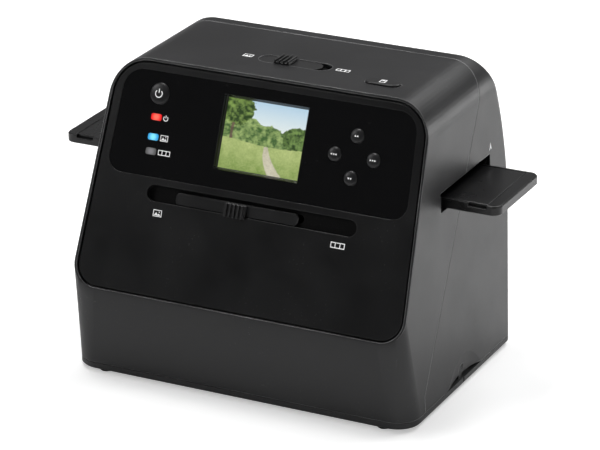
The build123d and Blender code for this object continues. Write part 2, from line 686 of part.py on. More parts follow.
# Slider arm: from the slider through the slit to the backlight
RAIL_FRONT_Y = AXIS_Y - HOLDER_W / 2 - 0.5
RAIL_REAR_Y = AXIS_Y + HOLDER_W / 2 + 0.5
LAMP_D = RAIL_REAR_Y - RAIL_FRONT_Y - 0.6
with BuildPart() as slider_arm:
    with BuildSketch(FACE.offset(-PLATE_DEPTH - PLATE_T)):
        with Locations((PLATE_X, PILL_K)):
            Rectangle(STEM_W, STEM_H)
    extrude(amount=PLATE_DEPTH + PLATE_T - STEM_END)
    stem_end = FACE.from_local_coords((PLATE_X, PILL_K, -STEM_END))
    arm_y0, arm_y1 = stem_end.Y - 1.5, AXIS_Y - LAMP_D / 2
    with BuildSketch(Plane.XY.offset(ARM_Z - ARM_T / 2)):
        with Locations((PLATE_X, (arm_y0 + arm_y1) / 2)):
            Rectangle(ARM_W, arm_y1 - arm_y0)
    extrude(amount=ARM_T)
slider_arm.part.label = "slider_arm"

# Backlight frame: an open box that slides between the rails
LAMP_TOP = LAMP_Z + LAMP_T
with BuildPart() as backlight_frame:
    with BuildSketch(Plane.XY.offset(LAMP_Z)):
        with Locations((LAMP_X, AXIS_Y)):
            Rectangle(LAMP_W, LAMP_D)
    extrude(amount=LAMP_T)
    with BuildSketch(Plane.XY.offset(LAMP_Z + 1.5)):
        with Locations((LAMP_X, AXIS_Y)):
            Rectangle(LAMP_W - 4, LAMP_D - 4)
    extrude(amount=LAMP_T, mode=Mode.SUBTRACT)
backlight_frame.part.label = "backlight_frame"

# Board with the backlight's lamps
with BuildPart() as backlight_board:
    with BuildSketch(Plane.XY.offset(LAMP_Z + 1.5)):
        with Locations((LAMP_X, AXIS_Y)):
            Rectangle(LAMP_W - 4.4, LAMP_D - 4.4)
    extrude(amount=1.2)
    with BuildSketch(Plane.XY.offset(LAMP_Z + 2.7)):
        with Locations((LAMP_X, AXIS_Y)):
            with GridLocations(14, 14, 4, 3):
                Rectangle(3.5, 2.8)
    extrude(amount=1.0)
backlight_board.part.label = "backlight_board"

# Diffuser over the lamps
with BuildPart() as backlight_diffuser:
    with BuildSketch(Plane.XY.offset(LAMP_TOP - 2.4)):
        with Locations((LAMP_X, AXIS_Y)):
            Rectangle(LAMP_W - 4, LAMP_D - 4)
    extrude(amount=2.4)
backlight_diffuser.part.label = "backlight_diffuser"


def rail(y, inwards, window):
    """A rail along one edge of the holder: an upright with a ledge for the holder above and
    one for the backlight below. The front one has a window for the slider's arm."""
    ledge_end = y + inwards * LEDGE_W
    outer = y - inwards * RAIL_T
    foot_ledge_top = LAMP_Z - 0.2
    reach = 2 * half_width(RAIL_FOOT_Z)
    hollow = cavity_form()
    with BuildPart() as beam:
        with BuildSketch(Plane.YZ):
            with BuildLine():
                Polyline(
                    (outer, RAIL_FOOT_Z),
                    (ledge_end, RAIL_FOOT_Z),
                    (ledge_end, foot_ledge_top),
                    (y, foot_ledge_top),
                    (y, LEDGE_Z - LEDGE_T),
                    (ledge_end, LEDGE_Z - LEDGE_T),
                    (ledge_end, LEDGE_Z),
                    (y, LEDGE_Z),
                    (y, RAIL_TOP_Z),
                    (outer, RAIL_TOP_Z),
                    close=True,
                )
            make_face()
        extrude(amount=reach / 2, both=True)
        if window:
            middle = PLATE_X + (SLIDE_LEFT + SLIDE_RIGHT) / 2
            width = SLIDE_RIGHT - SLIDE_LEFT + ARM_W + 4
            with BuildSketch(Plane.XZ.offset(-y - 5)):
                with Locations((middle, ARM_Z)):
                    Rectangle(width, ARM_T + 2)
            extrude(amount=20, mode=Mode.SUBTRACT)
        add(hollow, mode=Mode.INTERSECT)
    return beam.part


rail_front = rail(RAIL_FRONT_Y, 1, True)
rail_rear = rail(RAIL_REAR_Y, -1, False)
rail_front.label = "rail_front"
rail_rear.label = "rail_rear"

# Film gate: mask round the light path, under the rails' ledges
with BuildPart() as film_gate:
    gate_top = LEDGE_Z - LEDGE_T
    with BuildSketch(Plane.XY.offset(gate_top - GATE_T)):
        with Locations((0, AXIS_Y)):
            Rectangle(GATE_W, RAIL_REAR_Y - RAIL_FRONT_Y - 0.2)
            RectangleRounded(GATE_OPENING, GATE_OPENING, 1, mode=Mode.SUBTRACT)
    extrude(amount=GATE_T)
film_gate.part.label = "film_gate"

# Film holder base: long frame with a bed for a slide mount at each of three openings
FRAMES_X = [HOLDER_X + step * FRAME_PITCH for step in (-1, 0, 1)]
HOLDER_TOP = HOLDER_Z + HOLDER_T
COVER_W = HOLDER_W - 2 * COVER_SIDE
COVER_L = HOLDER_L - 2 * COVER_END
COVER_GAP = 0.15  # under the cover, so that it can tilt
HINGE_R, HINGE_PLAY = 0.6, 0.05
HINGE_Y = AXIS_Y + COVER_W / 2 - 0.3 - 1.1
HINGE_Z = (HOLDER_Z + HOLDER_BASE_T + COVER_GAP + HOLDER_TOP - 0.1) / 2
with BuildPart() as holder_base:
    with BuildSketch(Plane.XY.offset(HOLDER_Z)):
        with Locations((HOLDER_X, AXIS_Y)):
            RectangleRounded(HOLDER_L, HOLDER_W, 5)
    extrude(amount=HOLDER_T)
    chamfer(faces().sort_by(Axis.Z)[-1].edges(), 0.7)
    chamfer(faces().sort_by(Axis.Z)[0].edges(), 0.5)
    # Bed of the cover, open along the front edge for a fingernail
    with BuildSketch(Plane.XY.offset(HOLDER_Z + HOLDER_BASE_T)):
        with Locations((HOLDER_X, AXIS_Y)):
            Rectangle(COVER_L, COVER_W)
        with Locations((HOLDER_X, AXIS_Y - HOLDER_W / 2)):
            with GridLocations(COVER_L - 12, 1, 2, 1):
                Rectangle(11, 2 * COVER_SIDE + 0.2)
    extrude(amount=HOLDER_T, mode=Mode.SUBTRACT)
    # Beds for the slide mounts, and the openings under them
    with BuildSketch(Plane.XY.offset(HOLDER_Z + HOLDER_BASE_T)):
        with Locations(*[(x, AXIS_Y - 0.9) for x in FRAMES_X]):
            Rectangle(SLIDE_SIZE, SLIDE_SIZE)
    extrude(amount=-SLIDE_T, mode=Mode.SUBTRACT)
    with BuildSketch(Plane.XY.offset(HOLDER_Z)):
        with Locations(*[(x, AXIS_Y - 0.9) for x in FRAMES_X]):
            RectangleRounded(FRAME_OPENING, FRAME_OPENING, 1)
    extrude(amount=HOLDER_T, mode=Mode.SUBTRACT)
    # Bore for the hinge pin, in the end bars
    with BuildSketch(Plane.YZ.offset(HOLDER_X - COVER_L / 2 - 4)):
        with Locations((HINGE_Y, HINGE_Z)):
            Circle(HINGE_R)
    extrude(amount=COVER_L + 8, mode=Mode.SUBTRACT)
holder_base.part.label = "holder_base"

# Film holder cover: thin lid with the same openings and a barrel along its hinge edge
with BuildPart() as holder_cover:
    with BuildSketch(Plane.XY.offset(HOLDER_Z + HOLDER_BASE_T + COVER_GAP)):
        with Locations((HOLDER_X, AXIS_Y)):
            Rectangle(COVER_L - 0.8, COVER_W - 0.6)
        with Locations(*[(x, AXIS_Y - 0.9) for x in FRAMES_X]):
            RectangleRounded(FRAME_OPENING, FRAME_OPENING, 1, mode=Mode.SUBTRACT)
    extrude(amount=HOLDER_T - HOLDER_BASE_T - COVER_GAP - 0.1)
    chamfer(faces().sort_by(Axis.Z)[-1].edges().filter_by(GeomType.LINE), 0.35)
    with BuildSketch(Plane.YZ.offset(HOLDER_X - COVER_L / 2 - 4)):
        with Locations((HINGE_Y, HINGE_Z)):
            Circle(HINGE_R + HINGE_PLAY)
    extrude(amount=COVER_L + 8, mode=Mode.SUBTRACT)
holder_cover.part.label = "holder_cover"

# Hinge pin of the cover, held in the end bars
with BuildPart() as hinge_pin:
    with BuildSketch(Plane.YZ.offset(HOLDER_X - COVER_L / 2 - 4)):
        with Locations((HINGE_Y, HINGE_Z)):
            Circle(HINGE_R)
    extrude(amount=COVER_L + 8)
hinge_pin.part.label = "hinge_pin"

# Top switch: pill-shaped plate in the top, a wider carrier under it and a grip with fins
PLATE_REST_X = SWITCH_X - SWITCH_TRAVEL / 2
with BuildPart() as top_switch:
    with BuildSketch(Plane.XY.offset(TOP_Z - WALL - 0.2)):
        with Locations((PLATE_REST_X, SWITCH_Y)):
            SlotOverall(SWITCH_W + 1, SWITCH_D + 3)
    extrude(amount=-1.2)
    with BuildSketch(Plane.XY.offset(TOP_Z - WALL - 0.2)):
        with Locations((PLATE_REST_X, SWITCH_Y)):
            SlotOverall(SWITCH_W - SWITCH_TRAVEL - 0.4, SWITCH_D - 0.5)
    extrude(amount=WALL - 0.1)
    with BuildSketch(Plane.XY.offset(TOP_Z - 0.3)):
        with Locations((SWITCH_GRIP_X, SWITCH_Y)):
            Rectangle(SWITCH_GRIP_W - 1.0, SWITCH_D - 1.4)
    extrude(amount=0.5)
    grip_y, grip_d = SWITCH_Y - SWITCH_LAP / 2, SWITCH_D - 1.0 + SWITCH_LAP
    with BuildSketch(Plane.XY.offset(TOP_Z + 0.2)):
        with Locations((SWITCH_GRIP_X, grip_y)):
            Rectangle(SWITCH_GRIP_W, grip_d)
    extrude(amount=0.8)
    with BuildSketch(Plane.XY.offset(TOP_Z + 1.0)):
        with Locations((SWITCH_GRIP_X, grip_y)):
            with GridLocations(FIN_PITCH, 1, FINS, 1):
                Rectangle(FIN_W, grip_d)
    extrude(amount=FIN_H, taper=8)
top_switch.part.label = "top_switch"

# Focus fork: hangs from the switch and takes the lens ring's pin between its tines
LEVER_ANGLE = asin(SWITCH_TRAVEL / 2 / LEVER_R)
PIN_X, PIN_Y = -LEVER_R * sin(LEVER_ANGLE), AXIS_Y - LEVER_R * cos(LEVER_ANGLE)
FORK_Z = 160.2
RING_Z, RING_T = 154.2, 5.0
with BuildPart() as focus_fork:
    with BuildSketch(Plane.XY.offset(FORK_Z)):
        with Locations((PIN_X, SWITCH_Y - 4.5)):
            Rectangle(8, 3)
    extrude(amount=TOP_Z - WALL - 1.4 - FORK_Z)
    with BuildSketch(Plane.XY.offset(FORK_Z)):
        with Locations((PIN_X, PIN_Y - 0.75)):
            Rectangle(8, 7.5)
        with Locations((PIN_X, PIN_Y + 1)):
            Rectangle(2 * LEVER_PIN_R + 0.3, 6.4, mode=Mode.SUBTRACT)
    extrude(amount=2.6)
focus_fork.part.label = "focus_fork"

# Focus ring: turns on the lens barrel, with a lever and an upright pin
with BuildPart() as focus_ring:
    with BuildSketch(Plane.XY.offset(RING_Z)):
        with Locations((0, AXIS_Y)):
            Circle(BARREL_R + 3.5)
        with Locations((PIN_X, PIN_Y)):
            Circle(LEVER_PIN_R + 1.2)
    extrude(amount=RING_T)
    with BuildSketch(Plane.XY.offset(RING_Z)):
        with Locations((0, AXIS_Y)):
            Circle(BARREL_R + 0.05)
    extrude(amount=RING_T, mode=Mode.SUBTRACT)
    with BuildSketch(Plane.XY.offset(RING_Z + RING_T)):
        with Locations((PIN_X, PIN_Y)):
            Circle(LEVER_PIN_R)
    extrude(amount=FORK_Z + 2.6 - RING_Z - RING_T)
focus_ring.part.label = "focus_ring"

# Lens barrel: tube with a flange that stands on the camera mount
with BuildPart() as lens_barrel:
    with BuildSketch(Plane.XY.offset(BARREL_FOOT_Z)):
        with Locations((0, AXIS_Y)):
            Circle(BARREL_R)
            Circle(BARREL_R - 2, mode=Mode.SUBTRACT)
    extrude(amount=BARREL_TOP_Z - BARREL_FOOT_Z)
    with BuildSketch(Plane.XY.offset(MOUNT_Z + MOUNT_T)):
        with Locations((0, AXIS_Y)):
            Circle(BARREL_R + 4)
            Circle(BARREL_R - 2, mode=Mode.SUBTRACT)
    extrude(amount=2)
lens_barrel.part.label = "lens_barrel"

# Camera lens in the barrel's mouth: a glass disc, thinner towards its rim
with BuildPart() as camera_lens:
    lens_r, lens_z = BARREL_R - 2, BARREL_FOOT_Z + 3
    with BuildSketch(Plane.XZ.offset(-AXIS_Y)):
        with BuildLine():
            Polyline(
                (0, lens_z + 2),
                (lens_r, lens_z + 2),
                (lens_r, lens_z),
                (0.6 * lens_r, lens_z - 1),
                (0, lens_z - 1),
                close=True,
            )
        make_face()
    revolve(axis=Axis((0, AXIS_Y, 0), (0, 0, 1)))
camera_lens.part.label = "camera_lens"

# Camera mount: plate on the front shell's posts
with BuildPart() as camera_mount:
    with BuildSketch(Plane.XY.offset(MOUNT_Z)):
        with Locations((0, AXIS_Y)):
            RectangleRounded(160, 52, 4)
            Circle(BARREL_R, mode=Mode.SUBTRACT)
    extrude(amount=MOUNT_T)
camera_mount.part.label = "camera_mount"

# Sensor board on the barrel
with BuildPart() as sensor_board:
    with BuildSketch(Plane.XY.offset(BARREL_TOP_Z)):
        with Locations((0, AXIS_Y)):
            Rectangle(28, 26)
    extrude(amount=BOARD_T)
sensor_board.part.label = "sensor_board"

# Light strips for photographs, under the ends of the camera mount
photo_lights = {}
for name, side in (("photo_light_left", -1), ("photo_light_right", 1)):
    with BuildPart() as strip:
        with BuildSketch(Plane.XY.offset(MOUNT_Z)):
            with Locations((side * 70, AXIS_Y)):
                Rectangle(9, 46)
        extrude(amount=-1.4)
        with BuildSketch(Plane.XY.offset(MOUNT_Z - 1.4)):
            with Locations((side * 70, AXIS_Y)):
                with GridLocations(1, 9, 1, 5):
                    Rectangle(3.5, 2.8)
        extrude(amount=-1.0)
    strip.part.label = name
    photo_lights[name] = strip.part

# Socket board inside the back, on the rear shell's brackets
with BuildPart() as io_board:
    with BuildSketch(Plane.XY.offset(SOCKET_Z - BOARD_T)):
        with Locations((0, 50)):
            Rectangle(96, 32)
    extrude(amount=BOARD_T)
io_board.part.label = "io_board"

with BuildPart() as card_socket:
    with BuildSketch(Plane.XY.offset(SOCKET_Z)):
        with Locations((CARD_X, 51)):
            Rectangle(28, 28)
    extrude(amount=3.4)
    with BuildSketch(Plane.XZ.offset(-66)):
        with Locations((CARD_X, SOCKET_Z + 1.7)):
            Rectangle(24.4, 2.3)
    extrude(amount=26, mode=Mode.SUBTRACT)
card_socket.part.label = "card_socket"

with BuildPart() as usb_socket:
    with BuildSketch(Plane.XY.offset(SOCKET_Z)):
        with Locations((USB_X, 61)):
            Rectangle(7.8, 8)
    extrude(amount=4)
    with BuildSketch(Plane.XZ.offset(-66)):
        with Locations((USB_X, SOCKET_Z + 2)):
            Rectangle(6.8, 3)
            Rectangle(5, 0.8, mode=Mode.SUBTRACT)
    extrude(amount=7, mode=Mode.SUBTRACT)
usb_socket.part.label = "usb_socket"

with BuildPart() as video_jack:
    with BuildSketch(Plane.XY.offset(SOCKET_Z)):
        with Locations((VIDEO_X, 59)):
            Rectangle(8, 12)
    extrude(amount=6.6)
    with BuildSketch(Plane.XZ.offset(-66)):
        with Locations((VIDEO_X, SOCKET_Z + 3.4)):
            Circle(1.8)
    extrude(amount=11, mode=Mode.SUBTRACT)
video_jack.part.label = "video_jack"

# Top button: pill-shaped cap with a flange under the top
with BuildPart() as top_button:
    with BuildSketch(Plane.XY.offset(TOP_Z - WALL - 0.3)):
        with Locations((TOP_BUTTON_X, TOP_BUTTON_Y)):
            SlotOverall(TOP_BUTTON_W + 3, TOP_BUTTON_D + 3)
    extrude(amount=-1.2)
    with BuildSketch(Plane.XY.offset(TOP_Z - WALL - 0.3)):
        with Locations((TOP_BUTTON_X, TOP_BUTTON_Y)):
            SlotOverall(TOP_BUTTON_W, TOP_BUTTON_D)
    extrude(amount=WALL + 0.3 + 1.2)
    chamfer(faces().sort_by(Axis.Z)[-1].edges(), 0.5)
top_button.part.label = "top_button"

# Circuit board under the top button, with its push switch
with BuildPart() as top_board:
    with BuildSketch(Plane.XY.offset(TOP_BOARD_Z)):
        with Locations((TOP_BUTTON_X, TOP_BUTTON_Y)):
            Rectangle(TOP_BOARD_W, 12)
    extrude(amount=BOARD_T)
    with BuildSketch(Plane.XY.offset(TOP_BOARD_Z + BOARD_T)):
        with Locations((TOP_BUTTON_X, TOP_BUTTON_Y)):
            Rectangle(6, 6)
    extrude(amount=3)
    with BuildSketch(Plane.XY.offset(TOP_BOARD_Z + BOARD_T + 3)):
        with Locations((TOP_BUTTON_X, TOP_BUTTON_Y)):
            Circle(1.6)
    extrude(amount=TOP_Z - WALL - 0.3 - 1.2 - TOP_BUTTON_TRAVEL - 0.2 - TOP_BOARD_Z - BOARD_T - 3)
top_board.part.label = "top_board"

PIECES = [
    photo_tray.part,
    rubber_feet.part,
    front_shell.part,
    rear_shell.part,
    case_screws.part,
    front_bezel.part,
    control_panel.part,
    display_window.part,
    lcd_module.part,
    panel_board.part,
    panel_switches.part,
    *light_pipes.values(),
    *buttons.values(),
    slider_track.part,
    front_slider.part,
    slider_arm.part,
    backlight_frame.part,
    backlight_board.part,
    backlight_diffuser.part,
    rail_front,
    rail_rear,
    film_gate.part,
    holder_base.part,
    holder_cover.part,
    hinge_pin.part,
    top_switch.part,
    focus_fork.part,
    focus_ring.part,
    lens_barrel.part,
    camera_lens.part,
    camera_mount.part,
    sensor_board.part,
    *photo_lights.values(),
    io_board.part,
    card_socket.part,
    usb_socket.part,
    video_jack.part,
    top_button.part,
    top_board.part,
]

os.makedirs("parts", exist_ok=True)
for piece in PIECES:
    export_step(piece, f"parts/{piece.label}.step")
    print(piece.label, len(piece.solids()), round(piece.volume))
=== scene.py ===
import json
from math import cos, pi, radians, sin, tan

import bmesh
import bpy
import numpy as np
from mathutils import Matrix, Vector


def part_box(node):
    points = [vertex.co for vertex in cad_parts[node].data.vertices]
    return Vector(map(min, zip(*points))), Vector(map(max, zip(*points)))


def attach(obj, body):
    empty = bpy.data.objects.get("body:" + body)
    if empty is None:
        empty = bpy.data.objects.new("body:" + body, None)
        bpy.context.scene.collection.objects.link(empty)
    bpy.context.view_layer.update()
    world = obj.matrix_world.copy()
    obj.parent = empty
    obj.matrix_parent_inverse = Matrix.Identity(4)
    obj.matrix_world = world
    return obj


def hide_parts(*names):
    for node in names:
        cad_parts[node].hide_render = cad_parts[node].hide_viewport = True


# Film negative scanner: finishes, a lit display, domed caps, round lower corners and printed marks
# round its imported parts, in a white studio. The studio is in metres, the object's sizes are in mm.
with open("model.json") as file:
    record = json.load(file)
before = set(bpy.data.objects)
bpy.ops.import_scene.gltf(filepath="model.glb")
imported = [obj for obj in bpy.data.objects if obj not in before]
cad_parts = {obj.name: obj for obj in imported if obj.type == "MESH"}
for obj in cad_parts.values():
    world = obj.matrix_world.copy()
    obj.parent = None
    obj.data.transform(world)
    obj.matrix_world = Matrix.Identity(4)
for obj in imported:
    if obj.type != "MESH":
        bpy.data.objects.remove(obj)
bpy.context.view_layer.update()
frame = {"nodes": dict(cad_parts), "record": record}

# Camera: a long lens from the front right, a little above, as in the photograph.
scene = bpy.context.scene
scene.view_settings.view_transform = "Standard"
camera = bpy.data.objects.new("camera", bpy.data.cameras.new("camera"))
camera.data.lens = 195
camera.data.sensor_width = 36
camera.data.clip_end = 20
camera.location = (0.7528, -1.5357, 0.7678)
camera.rotation_euler = (radians(68.1), 0, radians(26.0))
scene.collection.objects.link(camera)
scene.camera = camera

# Floor: one sheet of white paper. It shows white to the camera, keeps the soft shadow of the
# object, and behind the object it is also bright in reflections.
FLOOR_REACH = 6.0
CAMERA_GLOW, REAR_GLOW = 0.44, 0.38
REAR_START, REAR_END = -0.05, 0.2  # the reflected glow comes in between these y
BUMP_HEIGHT = 0.0001  # of a bump of strength 1


def new_material(name):
    """A material with its node tree and its Principled shader."""
    material = bpy.data.materials.new(name)
    material.use_nodes = True
    tree = material.node_tree
    return material, tree, tree.nodes["Principled BSDF"]


def add_node(tree, kind, **settings):
    """A node of that kind. A setting that names a property sets it, any other sets a socket."""
    node = tree.nodes.new(kind)
    for key, value in settings.items():
        if hasattr(node, key):
            setattr(node, key, value)
        else:
            node.inputs[key.replace("_", " ")].default_value = value
    return node


def object_texture(tree, kind, **settings):
    """A texture node that lies fixed on its object."""
    texture = add_node(tree, kind, **settings)
    place = tree.nodes.new("ShaderNodeTexCoord")
    tree.links.new(place.outputs["Object"], texture.inputs["Vector"])
    return texture


def ramp(tree, source, low, high, first, last, smooth=False):
    """The socket source, mapped from (low, high) to (first, last)."""
    node = tree.nodes.new("ShaderNodeMapRange")
    if smooth:
        node.interpolation_type = "SMOOTHSTEP"
    ends = {"From Min": low, "From Max": high, "To Min": first, "To Max": last}
    for label, value in ends.items():
        node.inputs[label].default_value = value
    tree.links.new(source, node.inputs["Value"])
    return node.outputs["Result"]


def product(tree, first, second):
    """Two value sockets multiplied."""
    node = add_node(tree, "ShaderNodeMath", operation="MULTIPLY")
    tree.links.new(first, node.inputs[0])
    tree.links.new(second, node.inputs[1])
    return node.outputs[0]


def multiply_add(tree, value, factor, added):
    """The socket value times the number factor, plus the socket added."""
    node = add_node(tree, "ShaderNodeMath", operation="MULTIPLY_ADD")
    tree.links.new(value, node.inputs[0])
    node.inputs[1].default_value = factor
    tree.links.new(added, node.inputs[2])
    return node.outputs[0]


def raise_bumps(tree, height, strength):
    """Lets the height socket raise small bumps on the tree's Principled shader."""
    bumps = add_node(tree, "ShaderNodeBump", Strength=strength, Distance=BUMP_HEIGHT)
    tree.links.new(height, bumps.inputs["Height"])
    tree.links.new(bumps.outputs["Normal"], tree.nodes["Principled BSDF"].inputs["Normal"])


def white_paper():
    """Matt white paper with fibres. It glows for the camera, and at the rear for reflections."""
    material, tree, shader = new_material("white_paper")
    shader.inputs["Base Color"].default_value = (0.86, 0.86, 0.86, 1)
    shader.inputs["Roughness"].default_value = 0.9
    shader.inputs["Specular IOR Level"].default_value = 0.1
    place = tree.nodes.new("ShaderNodeTexCoord")
    split = tree.nodes.new("ShaderNodeSeparateXYZ")
    tree.links.new(place.outputs["Object"], split.inputs[0])
    rear = ramp(tree, split.outputs["Y"], REAR_START, REAR_END, 0.0, REAR_GLOW, smooth=True)
    rays = tree.nodes.new("ShaderNodeLightPath")
    mirrored = product(tree, rays.outputs["Is Glossy Ray"], rear)
    glow = multiply_add(tree, rays.outputs["Is Camera Ray"], CAMERA_GLOW, mirrored)
    tree.links.new(glow, shader.inputs["Emission Strength"])
    shader.inputs["Emission Color"].default_value = (1, 1, 1, 1)
    fibres = object_texture(tree, "ShaderNodeTexNoise", Scale=900.0, Detail=4.0)
    raise_bumps(tree, fibres.outputs["Fac"], 0.1)
    return material


floor_mesh = bpy.data.meshes.new("floor")
corners = FLOOR_REACH * np.array([(-1, -1, 0), (1, -1, 0), (1, 1, 0), (-1, 1, 0)])
floor_mesh.from_pydata(corners.tolist(), [], [(0, 1, 2, 3)])
floor = bpy.data.objects.new("floor", floor_mesh)
scene.collection.objects.link(floor)
floor_mesh.materials.append(white_paper())

# Studio: white all round for the camera. Reflections see a grey backdrop behind the object and a
# dark studio behind the camera.
BACKDROP, STUDIO = 0.26, 0.09
STUDIO_END, BACKDROP_START = -0.25, 0.8  # between these y of its direction, a ray sees a mix
world = bpy.data.worlds.new("studio")
scene.world = world
world.use_nodes = True
tree = world.node_tree
tree.nodes.clear()
output = tree.nodes.new("ShaderNodeOutputWorld")
rays = tree.nodes.new("ShaderNodeLightPath")
direction = tree.nodes.new("ShaderNodeTexCoord")
split = tree.nodes.new("ShaderNodeSeparateXYZ")
tree.links.new(direction.outputs["Generated"], split.inputs[0])
surround = tree.nodes.new("ShaderNodeBackground")
strength = ramp(
    tree, split.outputs["Y"], STUDIO_END, BACKDROP_START, STUDIO, BACKDROP, smooth=True
)
tree.links.new(strength, surround.inputs["Strength"])
white = tree.nodes.new("ShaderNodeBackground")
mix = tree.nodes.new("ShaderNodeMixShader")
tree.links.new(rays.outputs["Is Camera Ray"], mix.inputs[0])
tree.links.new(surround.outputs[0], mix.inputs[1])
tree.links.new(white.outputs[0], mix.inputs[2])
tree.links.new(mix.outputs[0], output.inputs["Surface"])

# Lamps: a soft box overhead, a large one behind it for the floor, a low one at the right rear
# whose light glances off the side wall, a small one at the right front for the rounded edges, and
# one at the left front.


def soft_box(name, place, aim, size, power):
    """A rectangular area lamp at place, turned towards aim."""
    lamp = bpy.data.lights.new(name, "AREA")
    lamp.shape = "RECTANGLE"
    lamp.size, lamp.size_y = size
    lamp.energy = power
    holder = bpy.data.objects.new(name, lamp)
    holder.location = place
    holder.rotation_euler = (Vector(aim) - Vector(place)).to_track_quat("-Z", "Y").to_euler()
    holder.visible_camera = False
    scene.collection.objects.link(holder)


soft_box("overhead_box", (-0.42, -0.02, 1.8), (0, 0, 0.1), (0.7, 0.6), 16)
soft_box("rear_box", (0.5, 1.1, 1.8), (0.3, 0.35, 0), (1.5, 1.3), 30)
soft_box("right_box", (1.15, 1.65, 0.17), (0.1, 0, 0.14), (0.9, 0.3), 3.6)
soft_box("edge_box", (1.55, -0.62, 0.30), (0, 0, 0.1), (0.5, 0.4), 2.2)
soft_box("left_box", (-1.5, -1.1, 1.3), (0, 0, 0.1), (0.9, 0.9), 8)

# Photo tray: the flat base that the housing stands on, moulded in satin black, with a bed for a
# photograph. Four rubber feet are pressed into its underside.
MM = 0.001
NOISE_LOW, NOISE_HIGH = 0.3, 0.7  # nearly all of a soft noise lies between these values
WANDER = 0.05  # of a moulded face's roughness
EDGE_POLISH = 0.3  # share of the roughness that a worn edge loses
DUST = (0.16, 0.155, 0.15)
nodes = frame["nodes"]
node_slot = {part["node"]: part["material_slot"] for part in frame["record"]["subparts"]}


def moulded_surface():
    """Node group of a moulded surface. Normal: a fine grain on the face, with the face's sharp
    edges rounded off. Shine: a slow unevenness, 0 to 1. The edge mask: where the rounded normal
    leaves the face's own, broken up by a noise; it stands for wear and for a painted highlight
    along the edges. Dust: a few specks where two noises are both high."""
    group = bpy.data.node_groups.new("moulded_surface", "ShaderNodeTree")
    for label, value in (("Grain Size", 0.3), ("Relief", 0.15), ("Edge Radius", 0.3 * MM)):
        socket = group.interface.new_socket(label, in_out="INPUT", socket_type="NodeSocketFloat")
        socket.default_value = value
    group.interface.new_socket("Normal", in_out="OUTPUT", socket_type="NodeSocketVector")
    for label in ("Shine", "Wear", "Dust"):
        group.interface.new_socket(label, in_out="OUTPUT", socket_type="NodeSocketFloat")
    given, result = group.nodes.new("NodeGroupInput"), group.nodes.new("NodeGroupOutput")
    link = group.links.new
    pitch = add_node(group, "ShaderNodeMath", operation="DIVIDE")
    pitch.inputs[0].default_value = 1 / MM
    link(given.outputs["Grain Size"], pitch.inputs[1])
    fine = object_texture(group, "ShaderNodeTexNoise", Detail=2.0, Roughness=0.6)
    slow = object_texture(group, "ShaderNodeTexNoise", Scale=30.0, Detail=4.0, Roughness=0.55)
    specks = object_texture(group, "ShaderNodeTexNoise", Scale=700.0, Detail=1.0)
    link(pitch.outputs[0], fine.inputs["Scale"])
    rounded = add_node(group, "ShaderNodeBevel", samples=6)
    link(given.outputs["Edge Radius"], rounded.inputs["Radius"])
    grain = add_node(group, "ShaderNodeBump", Distance=BUMP_HEIGHT)
    link(given.outputs["Relief"], grain.inputs["Strength"])
    link(fine.outputs["Fac"], grain.inputs["Height"])
    link(rounded.outputs[0], grain.inputs["Normal"])
    link(grain.outputs[0], result.inputs["Normal"])
    link(slow.outputs["Fac"], result.inputs["Shine"])
    own = group.nodes.new("ShaderNodeNewGeometry")
    turn = add_node(group, "ShaderNodeVectorMath", operation="DOT_PRODUCT")
    link(rounded.outputs[0], turn.inputs[0])
    link(own.outputs["Normal"], turn.inputs[1])
    edge = ramp(group, turn.outputs["Value"], 0.995, 0.85, 0.0, 1.0, smooth=True)
    broken = ramp(group, slow.outputs["Fac"], 0.35, 0.65, 0.35, 1.0)
    link(product(group, edge, broken), result.inputs["Wear"])
    grown = ramp(group, specks.outputs["Fac"], 0.70, 0.76, 0.0, 1.0)
    where = ramp(group, slow.outputs["Fac"], 0.45, 0.7, 0.0, 1.0)
    link(product(group, grown, where), result.inputs["Dust"])
    return group


MOULDED = moulded_surface()


def moulded_face(tree, grain, relief, edge):
    """The outputs of the moulded surface, with the size of its grain and its edge radius in mm."""
    face = add_node(tree, "ShaderNodeGroup", node_tree=MOULDED)
    face.inputs["Grain Size"].default_value = grain
    face.inputs["Relief"].default_value = relief
    face.inputs["Edge Radius"].default_value = edge * MM
    return face.outputs


def uneven(tree, source, first, last):
    """A noise socket, mapped from its usual range to (first, last)."""
    return ramp(tree, source, NOISE_LOW, NOISE_HIGH, first, last)


def shaded(tree, colour, share):
    """The given colour times the socket share."""
    node = add_node(tree, "ShaderNodeVectorMath", operation="SCALE")
    node.inputs[0].default_value = colour
    tree.links.new(share, node.inputs["Scale"])
    return node.outputs[0]


def blended(tree, share, first, last):
    """From first, where the socket share is 0, to last, where it is 1. Both are colours, as
    sockets or as numbers."""
    node = add_node(tree, "ShaderNodeMix", data_type="RGBA")
    tree.links.new(share, node.inputs["Factor"])
    for socket, colour in ((node.inputs[6], first), (node.inputs[7], last)):
        if isinstance(colour, bpy.types.NodeSocket):
            tree.links.new(colour, socket)
        else:
            socket.default_value = (*colour, 1)
    return node.outputs[2]


